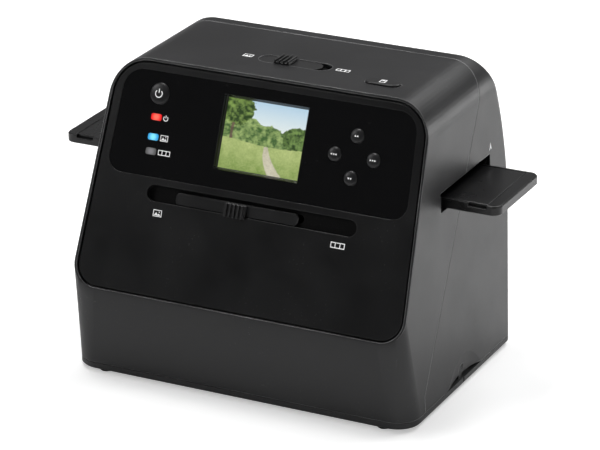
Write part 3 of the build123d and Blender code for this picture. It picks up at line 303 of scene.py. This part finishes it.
def moulded(
    name,
    colour,
    roughness,
    grain=0.3,
    relief=0.15,
    edge=0.3,
    wear_and_highlight=0.5,
    dust=0.3,
    gloss=0.5,
    wear_and_highlight_tone=0.10,
):
    """Moulded plastic. Its colour and roughness wander a little and a little dust lies on it. Its
    edges are rounded by edge mm and smoother. They are also paler by about the given edge tone,
    partly as wear and partly as a painted highlight."""
    material, tree, shader = new_material(name)
    shader.inputs["Specular IOR Level"].default_value = gloss
    face = moulded_face(tree, grain, relief, edge)
    tree.links.new(face["Normal"], shader.inputs["Normal"])
    rough = uneven(tree, face["Shine"], roughness - WANDER, roughness + WANDER)
    smoothed = multiply_add(tree, face["Wear"], -EDGE_POLISH * roughness, rough)
    tree.links.new(smoothed, shader.inputs["Roughness"])
    plain = shaded(tree, colour, uneven(tree, face["Shine"], 0.88, 1.12))
    # Painted highlight: the edges are paled towards a lighter colour. This stands partly for wear
    # and partly for the light that a rounded edge catches.
    pale = [min(1.0, 3.0 * part + wear_and_highlight_tone) for part in colour]
    rubbed_and_highlit = blended(tree, ramp(tree, face["Wear"], 0.0, 1.0, 0.0, wear_and_highlight), plain, pale)
    dusty = blended(tree, ramp(tree, face["Dust"], 0.0, 1.0, 0.0, dust), rubbed_and_highlit, DUST)
    tree.links.new(dusty, shader.inputs["Base Color"])
    return material


def dress(slot, material):
    """Gives that material to every CAD node of a slot of the record."""
    for name, node in nodes.items():
        if node_slot[name] == slot:
            for held in node.material_slots:
                held.material = material


dress("tray_plastic", moulded("satin_tray", (0.016, 0.016, 0.017), 0.42, relief=0.2))
rubber = moulded("foot_rubber", (0.012, 0.012, 0.012), 0.75, grain=0.6, relief=0.3, dust=0.8)
dress("foot_rubber", rubber)

# Housing: front and rear shell, moulded in black with a fine spark-eroded grain, parted by a
# slanted seam. Blackened screws at the bottom of two tunnels hold the rear shell on.
BLACK_GRAINED = (0.0135, 0.0135, 0.0145)
LINE_STRETCH = 60.0
# Strongly paled edges: mostly a painted highlight along the rim of the slanted front, partly wear.
housing = moulded(
    "grained_housing", BLACK_GRAINED, 0.38, relief=0.22, edge=0.9, wear_and_highlight=1.0, wear_and_highlight_tone=0.30
)
dress("housing_plastic", housing)


def metal(name, colour, roughness, direction):
    """Bare metal with fine lines along one axis, from a noise that is squeezed across it."""
    material, tree, shader = new_material(name)
    shader.inputs["Metallic"].default_value = 1.0
    place = tree.nodes.new("ShaderNodeTexCoord")
    squeeze = add_node(tree, "ShaderNodeVectorMath", operation="MULTIPLY")
    shares = [1.0 if axis == direction else LINE_STRETCH for axis in range(3)]
    squeeze.inputs[1].default_value = shares
    tree.links.new(place.outputs["Object"], squeeze.inputs[0])
    lines = add_node(tree, "ShaderNodeTexNoise", Scale=90.0, Detail=3.0)
    tree.links.new(squeeze.outputs[0], lines.inputs["Vector"])
    rough = uneven(tree, lines.outputs["Fac"], roughness - 0.08, roughness + 0.12)
    tree.links.new(rough, shader.inputs["Roughness"])
    tone = shaded(tree, colour, uneven(tree, lines.outputs["Fac"], 0.8, 1.1))
    tree.links.new(tone, shader.inputs["Base Color"])
    raise_bumps(tree, lines.outputs["Fac"], 0.15)
    return material


dress("screw_steel", metal("black_screw", (0.25, 0.25, 0.26), 0.4, 1))

# Lower corners of the slanted front, part of the front shell's moulding. In the frame the chin's
# corners run out to a point under the front. Here a copy of the shell takes them up into the
# front's own round corners.
CHIN_TOP_Y, CHIN_TOP_Z = -77.5, 53.6
SLOPE = radians(68.0)
HALF_WIDTH_FOOT, SEAM_Z, SIDE_TAPER = 105.5, 6.0, radians(2.95)
CHIN_FOOT_Y, CHIN_FOOT_R, CHIN_TOP_R = -71.5, 14.0, 3.0
FRONT_CORNER_R = 15.0
CAD_MERGE = 2e-6  # in metres
FLAT_TURN, SHARP_TURN = radians(0.3), radians(30)
FACET_GAP, EDGE_GAP = 0.12, 0.02  # a corner face's points lie this near its round and its ends
LOWEST_SHARE, HIGHEST_SHARE = -0.01, 1.002  # of the chin's height, for its corner faces
body_of_node = {n: b for b, held in frame["record"]["behaviour"]["bodies"].items() for n in held}


def on_front(x, k, depth):
    """Places in metres of points (x, k, depth) of the slanted front, given in mm: x to the right,
    k up the slope from the top of the chin and depth inwards. A place is the chin's top plus
    k (0, cos s, sin s) plus depth (0, sin s, -cos s), with s the slope."""
    x, k, depth = np.broadcast_arrays(x, k, depth)
    y = CHIN_TOP_Y + k * cos(SLOPE) + depth * sin(SLOPE)
    z = CHIN_TOP_Z + k * sin(SLOPE) - depth * cos(SLOPE)
    return np.stack([x, y, z], axis=-1) * MM


def half_width(z):
    """Half the housing's width in mm at the height z: its side walls lean inwards."""
    return HALF_WIDTH_FOOT - (z - SEAM_Z) * tan(SIDE_TAPER)


def merged_copy(node):
    """A copy of a CAD node that stands for it, with its loose triangles merged and its flat faces
    joined."""
    piece = bpy.data.objects.new(node + "_rounded", nodes[node].data.copy())
    scene.collection.objects.link(piece)
    work = bmesh.new()
    work.from_mesh(piece.data)
    bmesh.ops.remove_doubles(work, verts=work.verts, dist=CAD_MERGE)
    bmesh.ops.dissolve_limit(work, angle_limit=FLAT_TURN, verts=work.verts, edges=work.edges)
    work.to_mesh(piece.data)
    work.free()
    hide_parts(node)
    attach(piece, body_of_node[node])
    return piece


def points_of(mesh):
    """The mesh's points in mm."""
    points = np.empty(len(mesh.vertices) * 3)
    mesh.vertices.foreach_get("co", points)
    return points.reshape(-1, 3) / MM


def open_corners(mesh):
    """Joins the small level face under each lower corner of the slanted front to the front, and
    takes out the corner's tip, so that the front's outline follows the chin's corner face."""
    ridge_end = half_width(CHIN_TOP_Z)
    for side in (-1, 1):
        points = points_of(mesh)
        ends = [(side * x, CHIN_TOP_Y, CHIN_TOP_Z) for x in (ridge_end, ridge_end - CHIN_TOP_R)]
        tip, start = (int(np.argmin(np.linalg.norm(points - end, axis=1))) for end in ends)
        work = bmesh.new()
        work.from_mesh(mesh)
        work.verts.ensure_lookup_table()
        corner = work.verts[tip]
        shared = work.edges.get((corner, work.verts[start]))
        bmesh.ops.dissolve_edges(work, edges=[shared], use_verts=False)
        bmesh.ops.dissolve_verts(work, verts=[corner])
        work.to_mesh(mesh)
        work.free()


def round_chin(mesh):
    """Moves the points of the chin's two corner faces. At height z such a face is a quarter round
    of radius r(z) in plan, about a centre r(z) inside the front and the side. A point at the angle
    t of it and the share s of the height goes to (1 - s) foot(t) + s top(t): foot is the same
    quarter round at the tray, and top the front's own corner, a round of FRONT_CORNER_R in the
    slanted plane that touches the ridge and the side's edge."""
    points = points_of(mesh)
    side, x, y, z = np.sign(points[:, 0]), np.abs(points[:, 0]), points[:, 1], points[:, 2]
    share = (z - SEAM_Z) / (CHIN_TOP_Z - SEAM_Z)
    radius = CHIN_FOOT_R + share * (CHIN_TOP_R - CHIN_FOOT_R)
    front = CHIN_FOOT_Y + share * (CHIN_TOP_Y - CHIN_FOOT_Y)
    out_x, out_y = x - (half_width(z) - radius), front + radius - y
    on_corner = (share > LOWEST_SHARE) & (share < HIGHEST_SHARE)
    on_corner &= (out_x > -EDGE_GAP) & (out_y > -EDGE_GAP)
    on_corner &= np.abs(np.hypot(out_x, out_y) - radius) < FACET_GAP
    turn = np.arctan2(out_x, out_y)
    foot = np.stack(
        [
            HALF_WIDTH_FOOT - CHIN_FOOT_R * (1 - np.sin(turn)),
            CHIN_FOOT_Y + CHIN_FOOT_R * (1 - np.cos(turn)),
            np.full(len(turn), SEAM_Z),
        ],
        axis=-1,
    )
    lean = sin(SLOPE) * tan(SIDE_TAPER)  # the side's edge leans in by this much per unit of k
    middle = half_width(CHIN_TOP_Z) - FRONT_CORNER_R * (lean + np.sqrt(1 + lean**2))
    swing = -pi / 2 + turn * (pi / 2 + np.arctan(lean)) / (pi / 2)
    arc_x = middle + FRONT_CORNER_R * np.cos(swing)
    arc_k = FRONT_CORNER_R * (1 + np.sin(swing))
    top = on_front(arc_x, arc_k, 0.0) / MM
    moved = foot + np.clip(share, 0, 1)[:, None] * (top - foot)
    moved[:, 0] *= side
    points[on_corner] = moved[on_corner]
    mesh.vertices.foreach_set("co", (points * MM).ravel())
    mesh.update()


front_shell = merged_copy("front_shell")
open_corners(front_shell.data)
round_chin(front_shell.data)
front_shell.data.shade_smooth()
front_shell.data.set_sharp_from_angle(angle=SHARP_TURN)

# Bezel: a satin black panel let into the slanted front, a fine groove round it. Its bed holds the
# control panel, and the slider runs in a pill-shaped hole below.
BLACK_SATIN = (0.0055, 0.0055, 0.006)
bezel = moulded("satin_bezel", BLACK_SATIN, 0.33, relief=0.12, edge=0.4, wear_and_highlight=0.35)
dress("bezel_plastic", bezel)

# Control panel: a glossy black sheet glued into the bezel's bed, with holes for the buttons and
# indicators and a flared opening in front of the display.
BLACK_GLOSS, FINE_DUST = (0.0035, 0.0035, 0.004), (0.12, 0.12, 0.12)


def glossy_sheet(name, colour):
    """Polished black sheet: a slow noise makes smears in its roughness, and a few specks of dust
    lie on it."""
    material, tree, shader = new_material(name)
    face = moulded_face(tree, grain=2.5, relief=0.02, edge=0.3)
    tree.links.new(face["Normal"], shader.inputs["Normal"])
    smears = ramp(tree, face["Shine"], 0.35, 0.75, 0.05, 0.16)
    tree.links.new(smears, shader.inputs["Roughness"])
    specks = ramp(tree, face["Dust"], 0.0, 1.0, 0.0, 0.2)
    tree.links.new(blended(tree, specks, colour, FINE_DUST), shader.inputs["Base Color"])
    return material


dress("panel_gloss", glossy_sheet("gloss_panel", BLACK_GLOSS))

# Display: a lit colour module behind a clear window. The picture piece is a thin sheet just in
# front of the module, with a meadow, trees and sky in colours computed for each of its points.
DISPLAY_X, DISPLAY_K, DISPLAY_W, DISPLAY_H = -1.0, 99.65, 48.9, 39.2
WINDOW_BACK, PICTURE_GAP, PICTURE_EXTRA = 4.1, 0.03, 0.6
PICTURE_COLUMNS, PICTURE_ROWS = 160, 128
MERGE_DISTANCE = 1e-7  # in metres


def mesh_piece(name, points, faces, body, material, smooth=True):
    """A new piece from points in metres and faces, which rides on body and has a slot's finish."""
    mesh = bpy.data.meshes.new(name)
    mesh.from_pydata(np.asarray(points).tolist(), [], [list(map(int, face)) for face in faces])
    work = bmesh.new()
    work.from_mesh(mesh)
    bmesh.ops.remove_doubles(work, verts=work.verts, dist=MERGE_DISTANCE)
    work.to_mesh(mesh)
    work.free()
    if smooth:
        mesh.shade_smooth()
    mesh.materials.append(material)
    piece = bpy.data.objects.new(name, mesh)
    scene.collection.objects.link(piece)
    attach(piece, body)
    return piece


def grid_faces(rows, columns, closed=False):
    """Quads of a grid of points. A face looks along columns x rows; closed joins the last row to
    the first."""
    index = np.arange(rows * columns).reshape(rows, columns)
    near = index if closed else index[:-1]
    far = np.roll(index, -1, axis=0) if closed else index[1:]
    quads = np.stack([near[:, :-1], near[:, 1:], far[:, 1:], far[:, :-1]], axis=-1)
    return quads.reshape(-1, 4)


def value_noise(across, up, cells, seed):
    """Smooth noise in 0 to 1 at points (across, up) of the unit square: random values on a grid of
    cells, blended with weights 3 t^2 - 2 t^3 between the four nearest."""
    values = np.random.default_rng(seed).random((cells + 2, cells + 2))
    u, v = across * cells, up * cells
    i, j = u.astype(int), v.astype(int)
    s, t = (3 * f**2 - 2 * f**3 for f in (u - i, v - j))
    low = values[j, i] * (1 - s) + values[j, i + 1] * s
    high = values[j + 1, i] * (1 - s) + values[j + 1, i + 1] * s
    return low * (1 - t) + high * t


def meadow(across, up):
    """Colours of the picture at points (across, up) of the unit square. From back to front: a pale
    sky, a far wood whose top is a sum of sines, two near trees as ellipses with ragged rims, a
    trunk, and grass that gets darker towards the foot, with a path that narrows uphill. Value
    noise breaks up leaves and grass."""
    leaves = 0.6 * value_noise(across, up, 26, 3) + 0.4 * value_noise(across, up, 60, 4)
    blades = 0.5 * value_noise(across, up, 14, 5) + 0.5 * value_noise(across, up, 70, 6)
    colour = np.empty(across.shape + (3,))

    def paint(mask, first, last, share):
        """Colours the points of the mask between first and last."""
        share = np.clip(share, 0, 1)[..., None]
        colour[mask] = (np.array(first) * (1 - share) + np.array(last) * share)[mask]

    whole = np.full(across.shape, True)
    paint(whole, (0.80, 0.86, 0.84), (0.50, 0.68, 0.82), (up - 0.6) * 2.6)
    wood = 0.66 + 0.05 * np.sin(5.0 * across + 0.6) + 0.02 * np.sin(23 * across) + 0.05 * leaves
    paint(up < wood, (0.05, 0.12, 0.03), (0.36, 0.48, 0.17), leaves * 1.7 - 0.4)
    crown = ((across - 0.13) / 0.25) ** 2 + ((up - 0.86) / 0.27) ** 2 + 0.5 * leaves
    paint(crown < 1.0, (0.02, 0.05, 0.01), (0.24, 0.36, 0.09), leaves * 1.9 - 0.5)
    bush = ((across - 0.92) / 0.22) ** 2 + ((up - 0.55) / 0.2) ** 2 + 0.5 * leaves
    paint(bush < 1.0, (0.02, 0.05, 0.01), (0.20, 0.32, 0.09), leaves * 1.9 - 0.5)
    trunk = (np.abs(across - 0.12 - 0.02 * np.sin(9 * up)) < 0.018) & (up > 0.40) & (up < 0.66)
    paint(trunk, (0.09, 0.06, 0.04), (0.20, 0.15, 0.10), leaves)
    edge = 0.42 + 0.03 * np.sin(4.2 * across + 2.0)
    lit_grass = 0.35 + 0.7 * blades - 0.5 * (edge - up) / 0.42
    paint(up < edge, (0.20, 0.30, 0.07), (0.52, 0.60, 0.24), lit_grass)
    track = np.abs(across - 0.55 - 0.9 * (0.42 - up) ** 2) < 0.02 + 0.16 * (0.42 - up)
    paint((up < edge) & track, (0.48, 0.44, 0.32), (0.70, 0.66, 0.52), blades)
    return colour


def dimmed(tree, colour, share):
    """The colour of a socket times the number share."""
    node = add_node(tree, "ShaderNodeVectorMath", operation="SCALE", Scale=share)
    tree.links.new(colour, node.inputs[0])
    return node.outputs[0]


def lit_picture():
    """Lit pixels in the colours of the picture's points, with the faint columns of the module."""
    material, tree, shader = new_material("lit_picture")
    tones = add_node(tree, "ShaderNodeAttribute", attribute_name="picture").outputs["Color"]
    columns = object_texture(tree, "ShaderNodeTexWave", Scale=1000.0, bands_direction="X")
    shader.inputs["Roughness"].default_value = 0.5
    tree.links.new(tones, shader.inputs["Emission Color"])
    light = ramp(tree, columns.outputs["Fac"], 0.0, 1.0, 0.85, 1.05)
    tree.links.new(light, shader.inputs["Emission Strength"])
    tree.links.new(dimmed(tree, tones, 0.1), shader.inputs["Base Color"])
    return material


across, up = np.meshgrid(np.linspace(0, 1, PICTURE_COLUMNS), np.linspace(0, 1, PICTURE_ROWS))
picture_points = on_front(
    DISPLAY_X + (across - 0.5) * (DISPLAY_W + PICTURE_EXTRA),
    DISPLAY_K + (up - 0.5) * (DISPLAY_H + PICTURE_EXTRA),
    WINDOW_BACK - PICTURE_GAP,
)
picture = mesh_piece(
    "display_picture",
    picture_points.reshape(-1, 3),
    grid_faces(PICTURE_ROWS, PICTURE_COLUMNS),
    "housing",
    lit_picture(),
)
tint = picture.data.color_attributes.new("picture", "FLOAT_COLOR", "POINT")
colours = np.concatenate([meadow(across, up), np.ones(across.shape + (1,))], axis=-1)
tint.data.foreach_set("color", colours.ravel())
dress("display_image", metal("module_can", (0.45, 0.45, 0.45), 0.35, 0))


def clear(name, colour, roughness, ior):
    """Clear glass or plastic, with smears in its roughness."""
    material, tree, shader = new_material(name)
    shader.inputs["Base Color"].default_value = (*colour, 1)
    shader.inputs["Transmission Weight"].default_value = 1.0
    shader.inputs["IOR"].default_value = ior
    face = add_node(tree, "ShaderNodeGroup", node_tree=MOULDED)
    smears = uneven(tree, face.outputs["Shine"], 0.0, roughness)
    tree.links.new(smears, shader.inputs["Roughness"])
    return material


dress("display_glass", clear("display_window", (0.97, 0.98, 0.98), 0.04, 1.49))

# Indicators: three small light pipes that come through the control panel from the board behind.
# The red and the blue one are lit. The grey one is not lit, but it glows faintly as painted light.
LIGHT_X, LIGHT_FRONT = -66.5, 0.8
LIGHT_K = {"indicator_red": 101.6, "indicator_blue": 90.4, "indicator_grey": 82.3}
BRIGHT_R, PIPE_R = 0.6, 3.2


def light_pipe(name, node, rim, middle, strength):
    """Milky light pipe of an indicator: lighter in the middle than at its rim, by the distance
    from the middle of its front."""
    material, tree, shader = new_material(name)
    place = tree.nodes.new("ShaderNodeTexCoord")
    away = add_node(tree, "ShaderNodeVectorMath", operation="DISTANCE")
    tree.links.new(place.outputs["Object"], away.inputs[0])
    away.inputs[1].default_value = on_front(LIGHT_X, LIGHT_K[node], LIGHT_FRONT).tolist()
    share = ramp(tree, away.outputs["Value"], BRIGHT_R * MM, PIPE_R * MM, 1.0, 0.0, smooth=True)
    colour = blended(tree, share, rim, middle)
    tree.links.new(colour, shader.inputs["Emission Color"])
    shader.inputs["Emission Strength"].default_value = strength
    face = moulded_face(tree, grain=0.3, relief=0.05, edge=0.3)
    tree.links.new(face["Normal"], shader.inputs["Normal"])
    tree.links.new(uneven(tree, face["Shine"], 0.15, 0.3), shader.inputs["Roughness"])
    tree.links.new(dimmed(tree, colour, 0.3), shader.inputs["Base Color"])
    return material


RED_RIM, RED_MIDDLE = (0.75, 0.010, 0.012), (1.0, 0.16, 0.11)
BLUE_RIM, BLUE_MIDDLE = (0.03, 0.30, 0.62), (0.22, 0.75, 0.95)
GREY_PAINTED_GLOW_RIM, GREY_PAINTED_GLOW_MIDDLE = (0.10, 0.10, 0.10), (0.22, 0.22, 0.23)
dress("light_red", light_pipe("lit_red", "indicator_red", RED_RIM, RED_MIDDLE, 1.0))
dress("light_blue", light_pipe("lit_blue", "indicator_blue", BLUE_RIM, BLUE_MIDDLE, 1.0))
# Painted glow: the unlit grey pipe still gives off a faint light, lighter in the middle.
dress("light_grey", light_pipe("milky_grey", "indicator_grey", GREY_PAINTED_GLOW_RIM, GREY_PAINTED_GLOW_MIDDLE, 0.8))

# Buttons: polished black caps with a flat dome and a rounded rim, turned forms that stand for the
# stepped ones of the frame. A flange behind the bezel keeps each cap in.
NAV_X, NAV_K, NAV_ARM, NAV_R = 55.8, 98.1, 11.65, 4.0
POWER_X, POWER_K, POWER_R = -66.8, 114.9, 6.0
CAP_FOOT, CAP_DOME = -1.0, 1.2  # the dome starts level with the panel
FLANGE_FRONT, FLANGE_BACK, FLANGE_W = 4.6, 5.6, 1.0
DOME_STEPS, TURN_STEPS = 20, 64
RIM_TURN = radians(50)
BLACK_CAP = (0.012, 0.012, 0.013)
BUTTONS = {
    "button_up": (NAV_X, NAV_K + NAV_ARM, NAV_R),
    "button_down": (NAV_X, NAV_K - NAV_ARM, NAV_R),
    "button_left": (NAV_X - NAV_ARM, NAV_K, NAV_R),
    "button_right": (NAV_X + NAV_ARM, NAV_K, NAV_R),
    "power_button": (POWER_X, POWER_K, POWER_R),
}


def dome_height(away, radius):
    """Height above the slope of a cap's dome at a distance from its middle: half an ellipse,
    CAP_FOOT + CAP_DOME sqrt(1 - (away / radius)^2)."""
    return CAP_FOOT + CAP_DOME * np.sqrt(1 - (np.asarray(away) / radius) ** 2)


def domed_cap(name, x, k, radius, material):
    """A turned cap: the dome, the skirt under it and the flange. Rows are the turn, columns the
    profile from the middle outwards, in steps that get finer towards the rim."""
    away = radius * np.sin(np.linspace(0, pi / 2, DOME_STEPS))
    profile_r = np.array([*away, radius, radius + FLANGE_W, radius + FLANGE_W])
    profile_h = np.array([*dome_height(away, radius), -FLANGE_FRONT, -FLANGE_FRONT, -FLANGE_BACK])
    turn = np.linspace(0, 2 * pi, TURN_STEPS, endpoint=False)[:, None]
    points = on_front(x + profile_r * np.cos(turn), k + profile_r * np.sin(turn), -profile_h)
    cap = mesh_piece(
        name + "_cap",
        points.reshape(-1, 3),
        grid_faces(TURN_STEPS, len(profile_r), closed=True),
        body_of_node[name],
        material,
    )
    cap.data.set_sharp_from_angle(angle=RIM_TURN)
    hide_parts(name)


polished = moulded("polished_cap", BLACK_CAP, 0.36, grain=0.8, relief=0.04, edge=0.1, wear_and_highlight=0.0)
for name, (x, k, radius) in BUTTONS.items():
    domed_cap(name, x, k, radius, polished)

# Sliders and top button: the long front slider and the top switch with their ribbed grips, moulded
# in satin black, and the top button's polished pill-shaped cap.
BLACK_SLIDER = (0.013, 0.013, 0.0135)
# Paled edges: a painted highlight along the plate's edges, partly wear.
slider = moulded("satin_slider", BLACK_SLIDER, 0.33, relief=0.12, edge=0.4, wear_and_highlight=0.6)
dress("slider_plastic", slider)
dress("button_plastic", polished)

# Film holder: a long frame with a hinged cover, moulded in a smooth satin black. A steel pin is
# its hinge.
BLACK_HOLDER = (0.006, 0.006, 0.0065)
# Paled edges: a painted highlight along the holder's glossy edges, partly wear.
holder = moulded("satin_holder", BLACK_HOLDER, 0.28, relief=0.10, edge=0.7, wear_and_highlight=0.6)
dress("holder_plastic", holder)
dress("pin_steel", metal("pin_steel", (0.55, 0.55, 0.56), 0.25, 0))

# Inside: rails, gate, camera mount and backlight frame in a black darker than the outer plastics,
# partly their own colour and partly painted shade for the deep slider track; boards with solder
# mask, plated cans, the ribbed lens barrel and the coated lens.
BLACK_INNER_AND_SHADE, MILKY = (0.003, 0.003, 0.0032), (0.82, 0.83, 0.83)
# Painted shade: this black is darker than the outer plastics so that the deep slider track reads
# dark.
inner = moulded("plain_inner", BLACK_INNER_AND_SHADE, 0.65, relief=0.2, wear_and_highlight=0.1, gloss=0.15)
dress("inner_plastic", inner)
dress("diffuser_plastic", moulded("milky_diffuser", MILKY, 0.5, relief=0.1, wear_and_highlight=0.0, dust=0.1))
dress("metal_can", metal("plated_can", (0.6, 0.6, 0.6), 0.3, 0))
dress("lens_glass", clear("coated_lens", (0.75, 0.8, 0.95), 0.02, 1.6))
dress("lens_black", moulded("barrel_black", (0.010, 0.010, 0.010), 0.6, grain=0.5, relief=0.5))


def circuit_board(name, mask, copper):
    """Solder mask over copper: the tracks are the cell borders of a stepped noise, a little
    lighter and raised, with small round pads between them."""
    material, tree, shader = new_material(name)
    cells = object_texture(
        tree, "ShaderNodeTexVoronoi", Scale=260.0, distance="MANHATTAN", feature="F1"
    )
    pads = object_texture(tree, "ShaderNodeTexVoronoi", Scale=420.0, Randomness=0.5)
    tracks = ramp(tree, cells.outputs["Distance"], 0.44, 0.48, 0.0, 1.0)
    dots = ramp(tree, pads.outputs["Distance"], 0.22, 0.18, 0.0, 1.0)
    both = add_node(tree, "ShaderNodeMath", operation="MAXIMUM")
    tree.links.new(tracks, both.inputs[0])
    tree.links.new(dots, both.inputs[1])
    tree.links.new(blended(tree, both.outputs[0], mask, copper), shader.inputs["Base Color"])
    tree.links.new(ramp(tree, both.outputs[0], 0.0, 1.0, 0.42, 0.28), shader.inputs["Roughness"])
    raise_bumps(tree, both.outputs[0], 0.3)
    return material


dress("board", circuit_board("green_board", (0.012, 0.09, 0.035), (0.05, 0.22, 0.08)))
dress("white_board", circuit_board("white_board", (0.78, 0.78, 0.76), (0.66, 0.65, 0.60)))

# Printed marks: thin white ink on the housing, the panel and the buttons. Plain pictograms take
# the places of the words: a strip of film, a picture, a card, arrows and a power sign.
INK, CAP_LIFT = 0.02, 0.09  # the ink lies this far above a flat surface and above a dome
PANEL_DEPTH, BEZEL_DEPTH = 1.0, 0.6
TOP_Z = 177.5
RING_START, RING_END = radians(132), radians(408)


def white_ink():
    """White ink that is a little thinner in places. It also glows faintly, a painted glow that keeps
    it bright in the shade.
    """
    material, tree, shader = new_material("white_ink")
    worn = object_texture(tree, "ShaderNodeTexNoise", Scale=2600.0, Detail=3.0).outputs["Fac"]
    shader.inputs["Roughness"].default_value = 0.5
    tone = shaded(tree, (1.0, 1.0, 1.0), ramp(tree, worn, 0.3, 0.6, 0.75, 0.95))
    tree.links.new(tone, shader.inputs["Base Color"])
    tree.links.new(tone, shader.inputs["Emission Color"])
    # Painted glow: the ink gives off a little light of its own.
    shader.inputs["Emission Strength"].default_value = 0.25
    raise_bumps(tree, worn, 0.2)
    return material


ink = white_ink()


def printed(name, shapes, place, body):
    """One piece of ink from flat shapes. place turns their (x, y) in mm into places in metres."""
    counts = [len(shape) for shape in shapes]
    ends = np.cumsum(counts)
    flat = np.concatenate(shapes)
    faces = [range(end - count, end) for count, end in zip(counts, ends)]
    points = place(flat[:, 0], flat[:, 1])
    mesh_piece(name, points, faces, body, ink, smooth=False)


def circle_points(angles):
    """Points of the unit circle at those angles."""
    return np.stack([np.cos(angles), np.sin(angles)], axis=-1)


def bar(x, y, width, height):
    """A rectangle's corners round its middle."""
    corners = np.array([(-1, -1), (1, -1), (1, 1), (-1, 1)])
    return np.array([x, y]) + corners * (width / 2, height / 2)


def outline_bars(x, y, width, height, line):
    """A rectangle's outline as four bars."""
    across, up = (width - line) / 2, (height - line) / 2
    return [
        bar(x, y - up, width, line),
        bar(x, y + up, width, line),
        bar(x - across, y, line, height - 2 * line),
        bar(x + across, y, line, height - 2 * line),
    ]


def arrow(x, y, size, turn):
    """A triangle that points to the angle turn."""
    return np.array([x, y]) + size * circle_points(turn + np.arange(0, 6, 2) * pi / 3)


def arc(x, y, radius, line, start, end, steps=20):
    """Part of a ring, as quads between two circles from the angle start to end."""
    swept = circle_points(np.linspace(start, end, steps + 1))
    inner, outer = (np.array([x, y]) + r * swept for r in (radius - line / 2, radius + line / 2))
    return [np.array([inner[i], outer[i], outer[i + 1], inner[i + 1]]) for i in range(steps)]


def film_strip(x, y, length, height, frames=3):
    """A strip of film: its outline and the bars between its frames."""
    line = 0.16 * height
    places = x + length * (np.arange(1, frames) / frames - 0.5)
    bars = [bar(place, y, line, height - 2 * line) for place in places]
    return outline_bars(x, y, length, height, line) + bars


def power_sign(x, y, radius, line):
    """An open ring with a bar in its gap."""
    ring = arc(x, y, radius, line, RING_START, RING_END)
    return ring + [bar(x, y + 0.75 * radius, line, 1.1 * radius)]


def picture_sign(x, y, width, height):
    """A picture: a frame with two hills and a sun in it. A hill is given by the shares of the
    width of its two ends and its top, and by the share of the height of its top."""
    line = 0.11 * height
    foot = y - height / 2 + 1.6 * line
    hills = [
        np.array([(x + a * width, foot), (x + b * width, foot), (x + c * width, y + top * height)])
        for a, b, c, top in ((-0.38, 0.12, -0.13, 0.16), (-0.02, 0.38, 0.18, 0.0))
    ]
    middle = np.array([x + 0.2 * width, y + 0.2 * height])
    sun = middle + 0.09 * height * circle_points(np.arange(8) * pi / 4)
    return outline_bars(x, y, width, height, line) + hills + [sun]


# Beside the indicators and at the two ends of the front slider
FRONT_MARKS = {
    "mark_power_light": (power_sign(-60.6, 101.5, 1.35, 0.5), PANEL_DEPTH),
    "mark_photo_light": (picture_sign(-59.6, 90.4, 4.8, 3.5), PANEL_DEPTH),
    "mark_film_light": (film_strip(-58.2, 82.3, 7.6, 3.0), PANEL_DEPTH),
    "mark_slider_photo": (picture_sign(-56.0, 48.8, 5.4, 3.9), BEZEL_DEPTH),
    "mark_slider_film": (film_strip(55.0, 49.2, 8.6, 3.3), BEZEL_DEPTH),
}
for name, (shapes, depth) in FRONT_MARKS.items():
    printed(name, shapes, lambda x, k: on_front(x, k, depth - INK), "housing")


def on_top(height):
    """Places on a level surface at that height, in mm: x to the right, y to the back."""
    return lambda x, y: np.stack([x, y, np.full(len(x), height + INK)], axis=-1) * MM


# On the top, beside the switch and on the button
SWITCH_PHOTO_X, SWITCH_FILM_X = -28.5, 30.2
photo_mark = picture_sign(SWITCH_PHOTO_X, 0.3, 5.8, 4.2)
film_mark = film_strip(SWITCH_FILM_X, 0.2, 8.2, 3.4)
printed("mark_top_photo", photo_mark, on_top(TOP_Z), "housing")
printed("mark_top_film", film_mark, on_top(TOP_Z), "housing")
low, high = (np.array(corner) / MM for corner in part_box("top_button"))
across, back = (low[:2] + high[:2]) / 2
card = outline_bars(across, back, 3.6, 4.4, 0.5) + [bar(across, back + 0.9, 1.8, 1.1)]
printed("mark_top_button", card, on_top(high[2]), body_of_node["top_button"])


def on_cap(name):
    """Places on the dome of a button's cap, round the cap's middle. The ink is flat between its
    corners, so it lies CAP_LIFT above the dome."""
    middle_x, middle_k, radius = BUTTONS[name]
    return lambda x, k: on_front(
        middle_x + x, middle_k + k, -dome_height(np.hypot(x, k), radius) - CAP_LIFT
    )


# Power sign and arrows on the caps
MARK_K, ARROW_STEP, ARROW_R = -0.2, 1.35, 0.72
power_mark = power_sign(0, MARK_K, 2.1, 0.6)
printed("mark_power", power_mark, on_cap("power_button"), body_of_node["power_button"])
CAP_MARKS = {
    "button_up": (radians(90), 2),
    "button_down": (radians(270), 2),
    "button_left": (radians(180), 3),
    "button_right": (0.0, 3),
}
for name, (turn, count) in CAP_MARKS.items():
    offsets = ARROW_STEP * (np.arange(count) - (count - 1) / 2)
    arrows = [arrow(offset, MARK_K, ARROW_R, turn) for offset in offsets]
    printed("mark_" + name, arrows, on_cap(name), body_of_node[name])


def on_side(sign):
    """Places on the right (1) or left (-1) side wall, from (y, z). The left wall's points run the
    other way round, so that its faces also look outwards."""

    def place(y, z):
        """Places of (y, z) on that wall."""
        if sign < 0:
            y, z = y[::-1], z[::-1]
        return np.stack([sign * (half_width(z) + INK), y, z], axis=-1) * MM

    return place


# Arrowheads above the film slot, on both sides
HEAD_Y, HEAD_FOOT_Z, HEAD_H, HEAD_HALF_W, HEAD_NOTCH = 48.4, 125.6, 4.6, 1.7, 1.3
head = np.array([(0, HEAD_H), (-HEAD_HALF_W, 0), (0, HEAD_NOTCH), (HEAD_HALF_W, 0)])
head += (HEAD_Y, HEAD_FOOT_Z)
halves = [head[[0, 1, 2]], head[[0, 2, 3]]]
for side, sign in (("right", 1), ("left", -1)):
    printed("mark_slot_" + side, halves, on_side(sign), "housing")
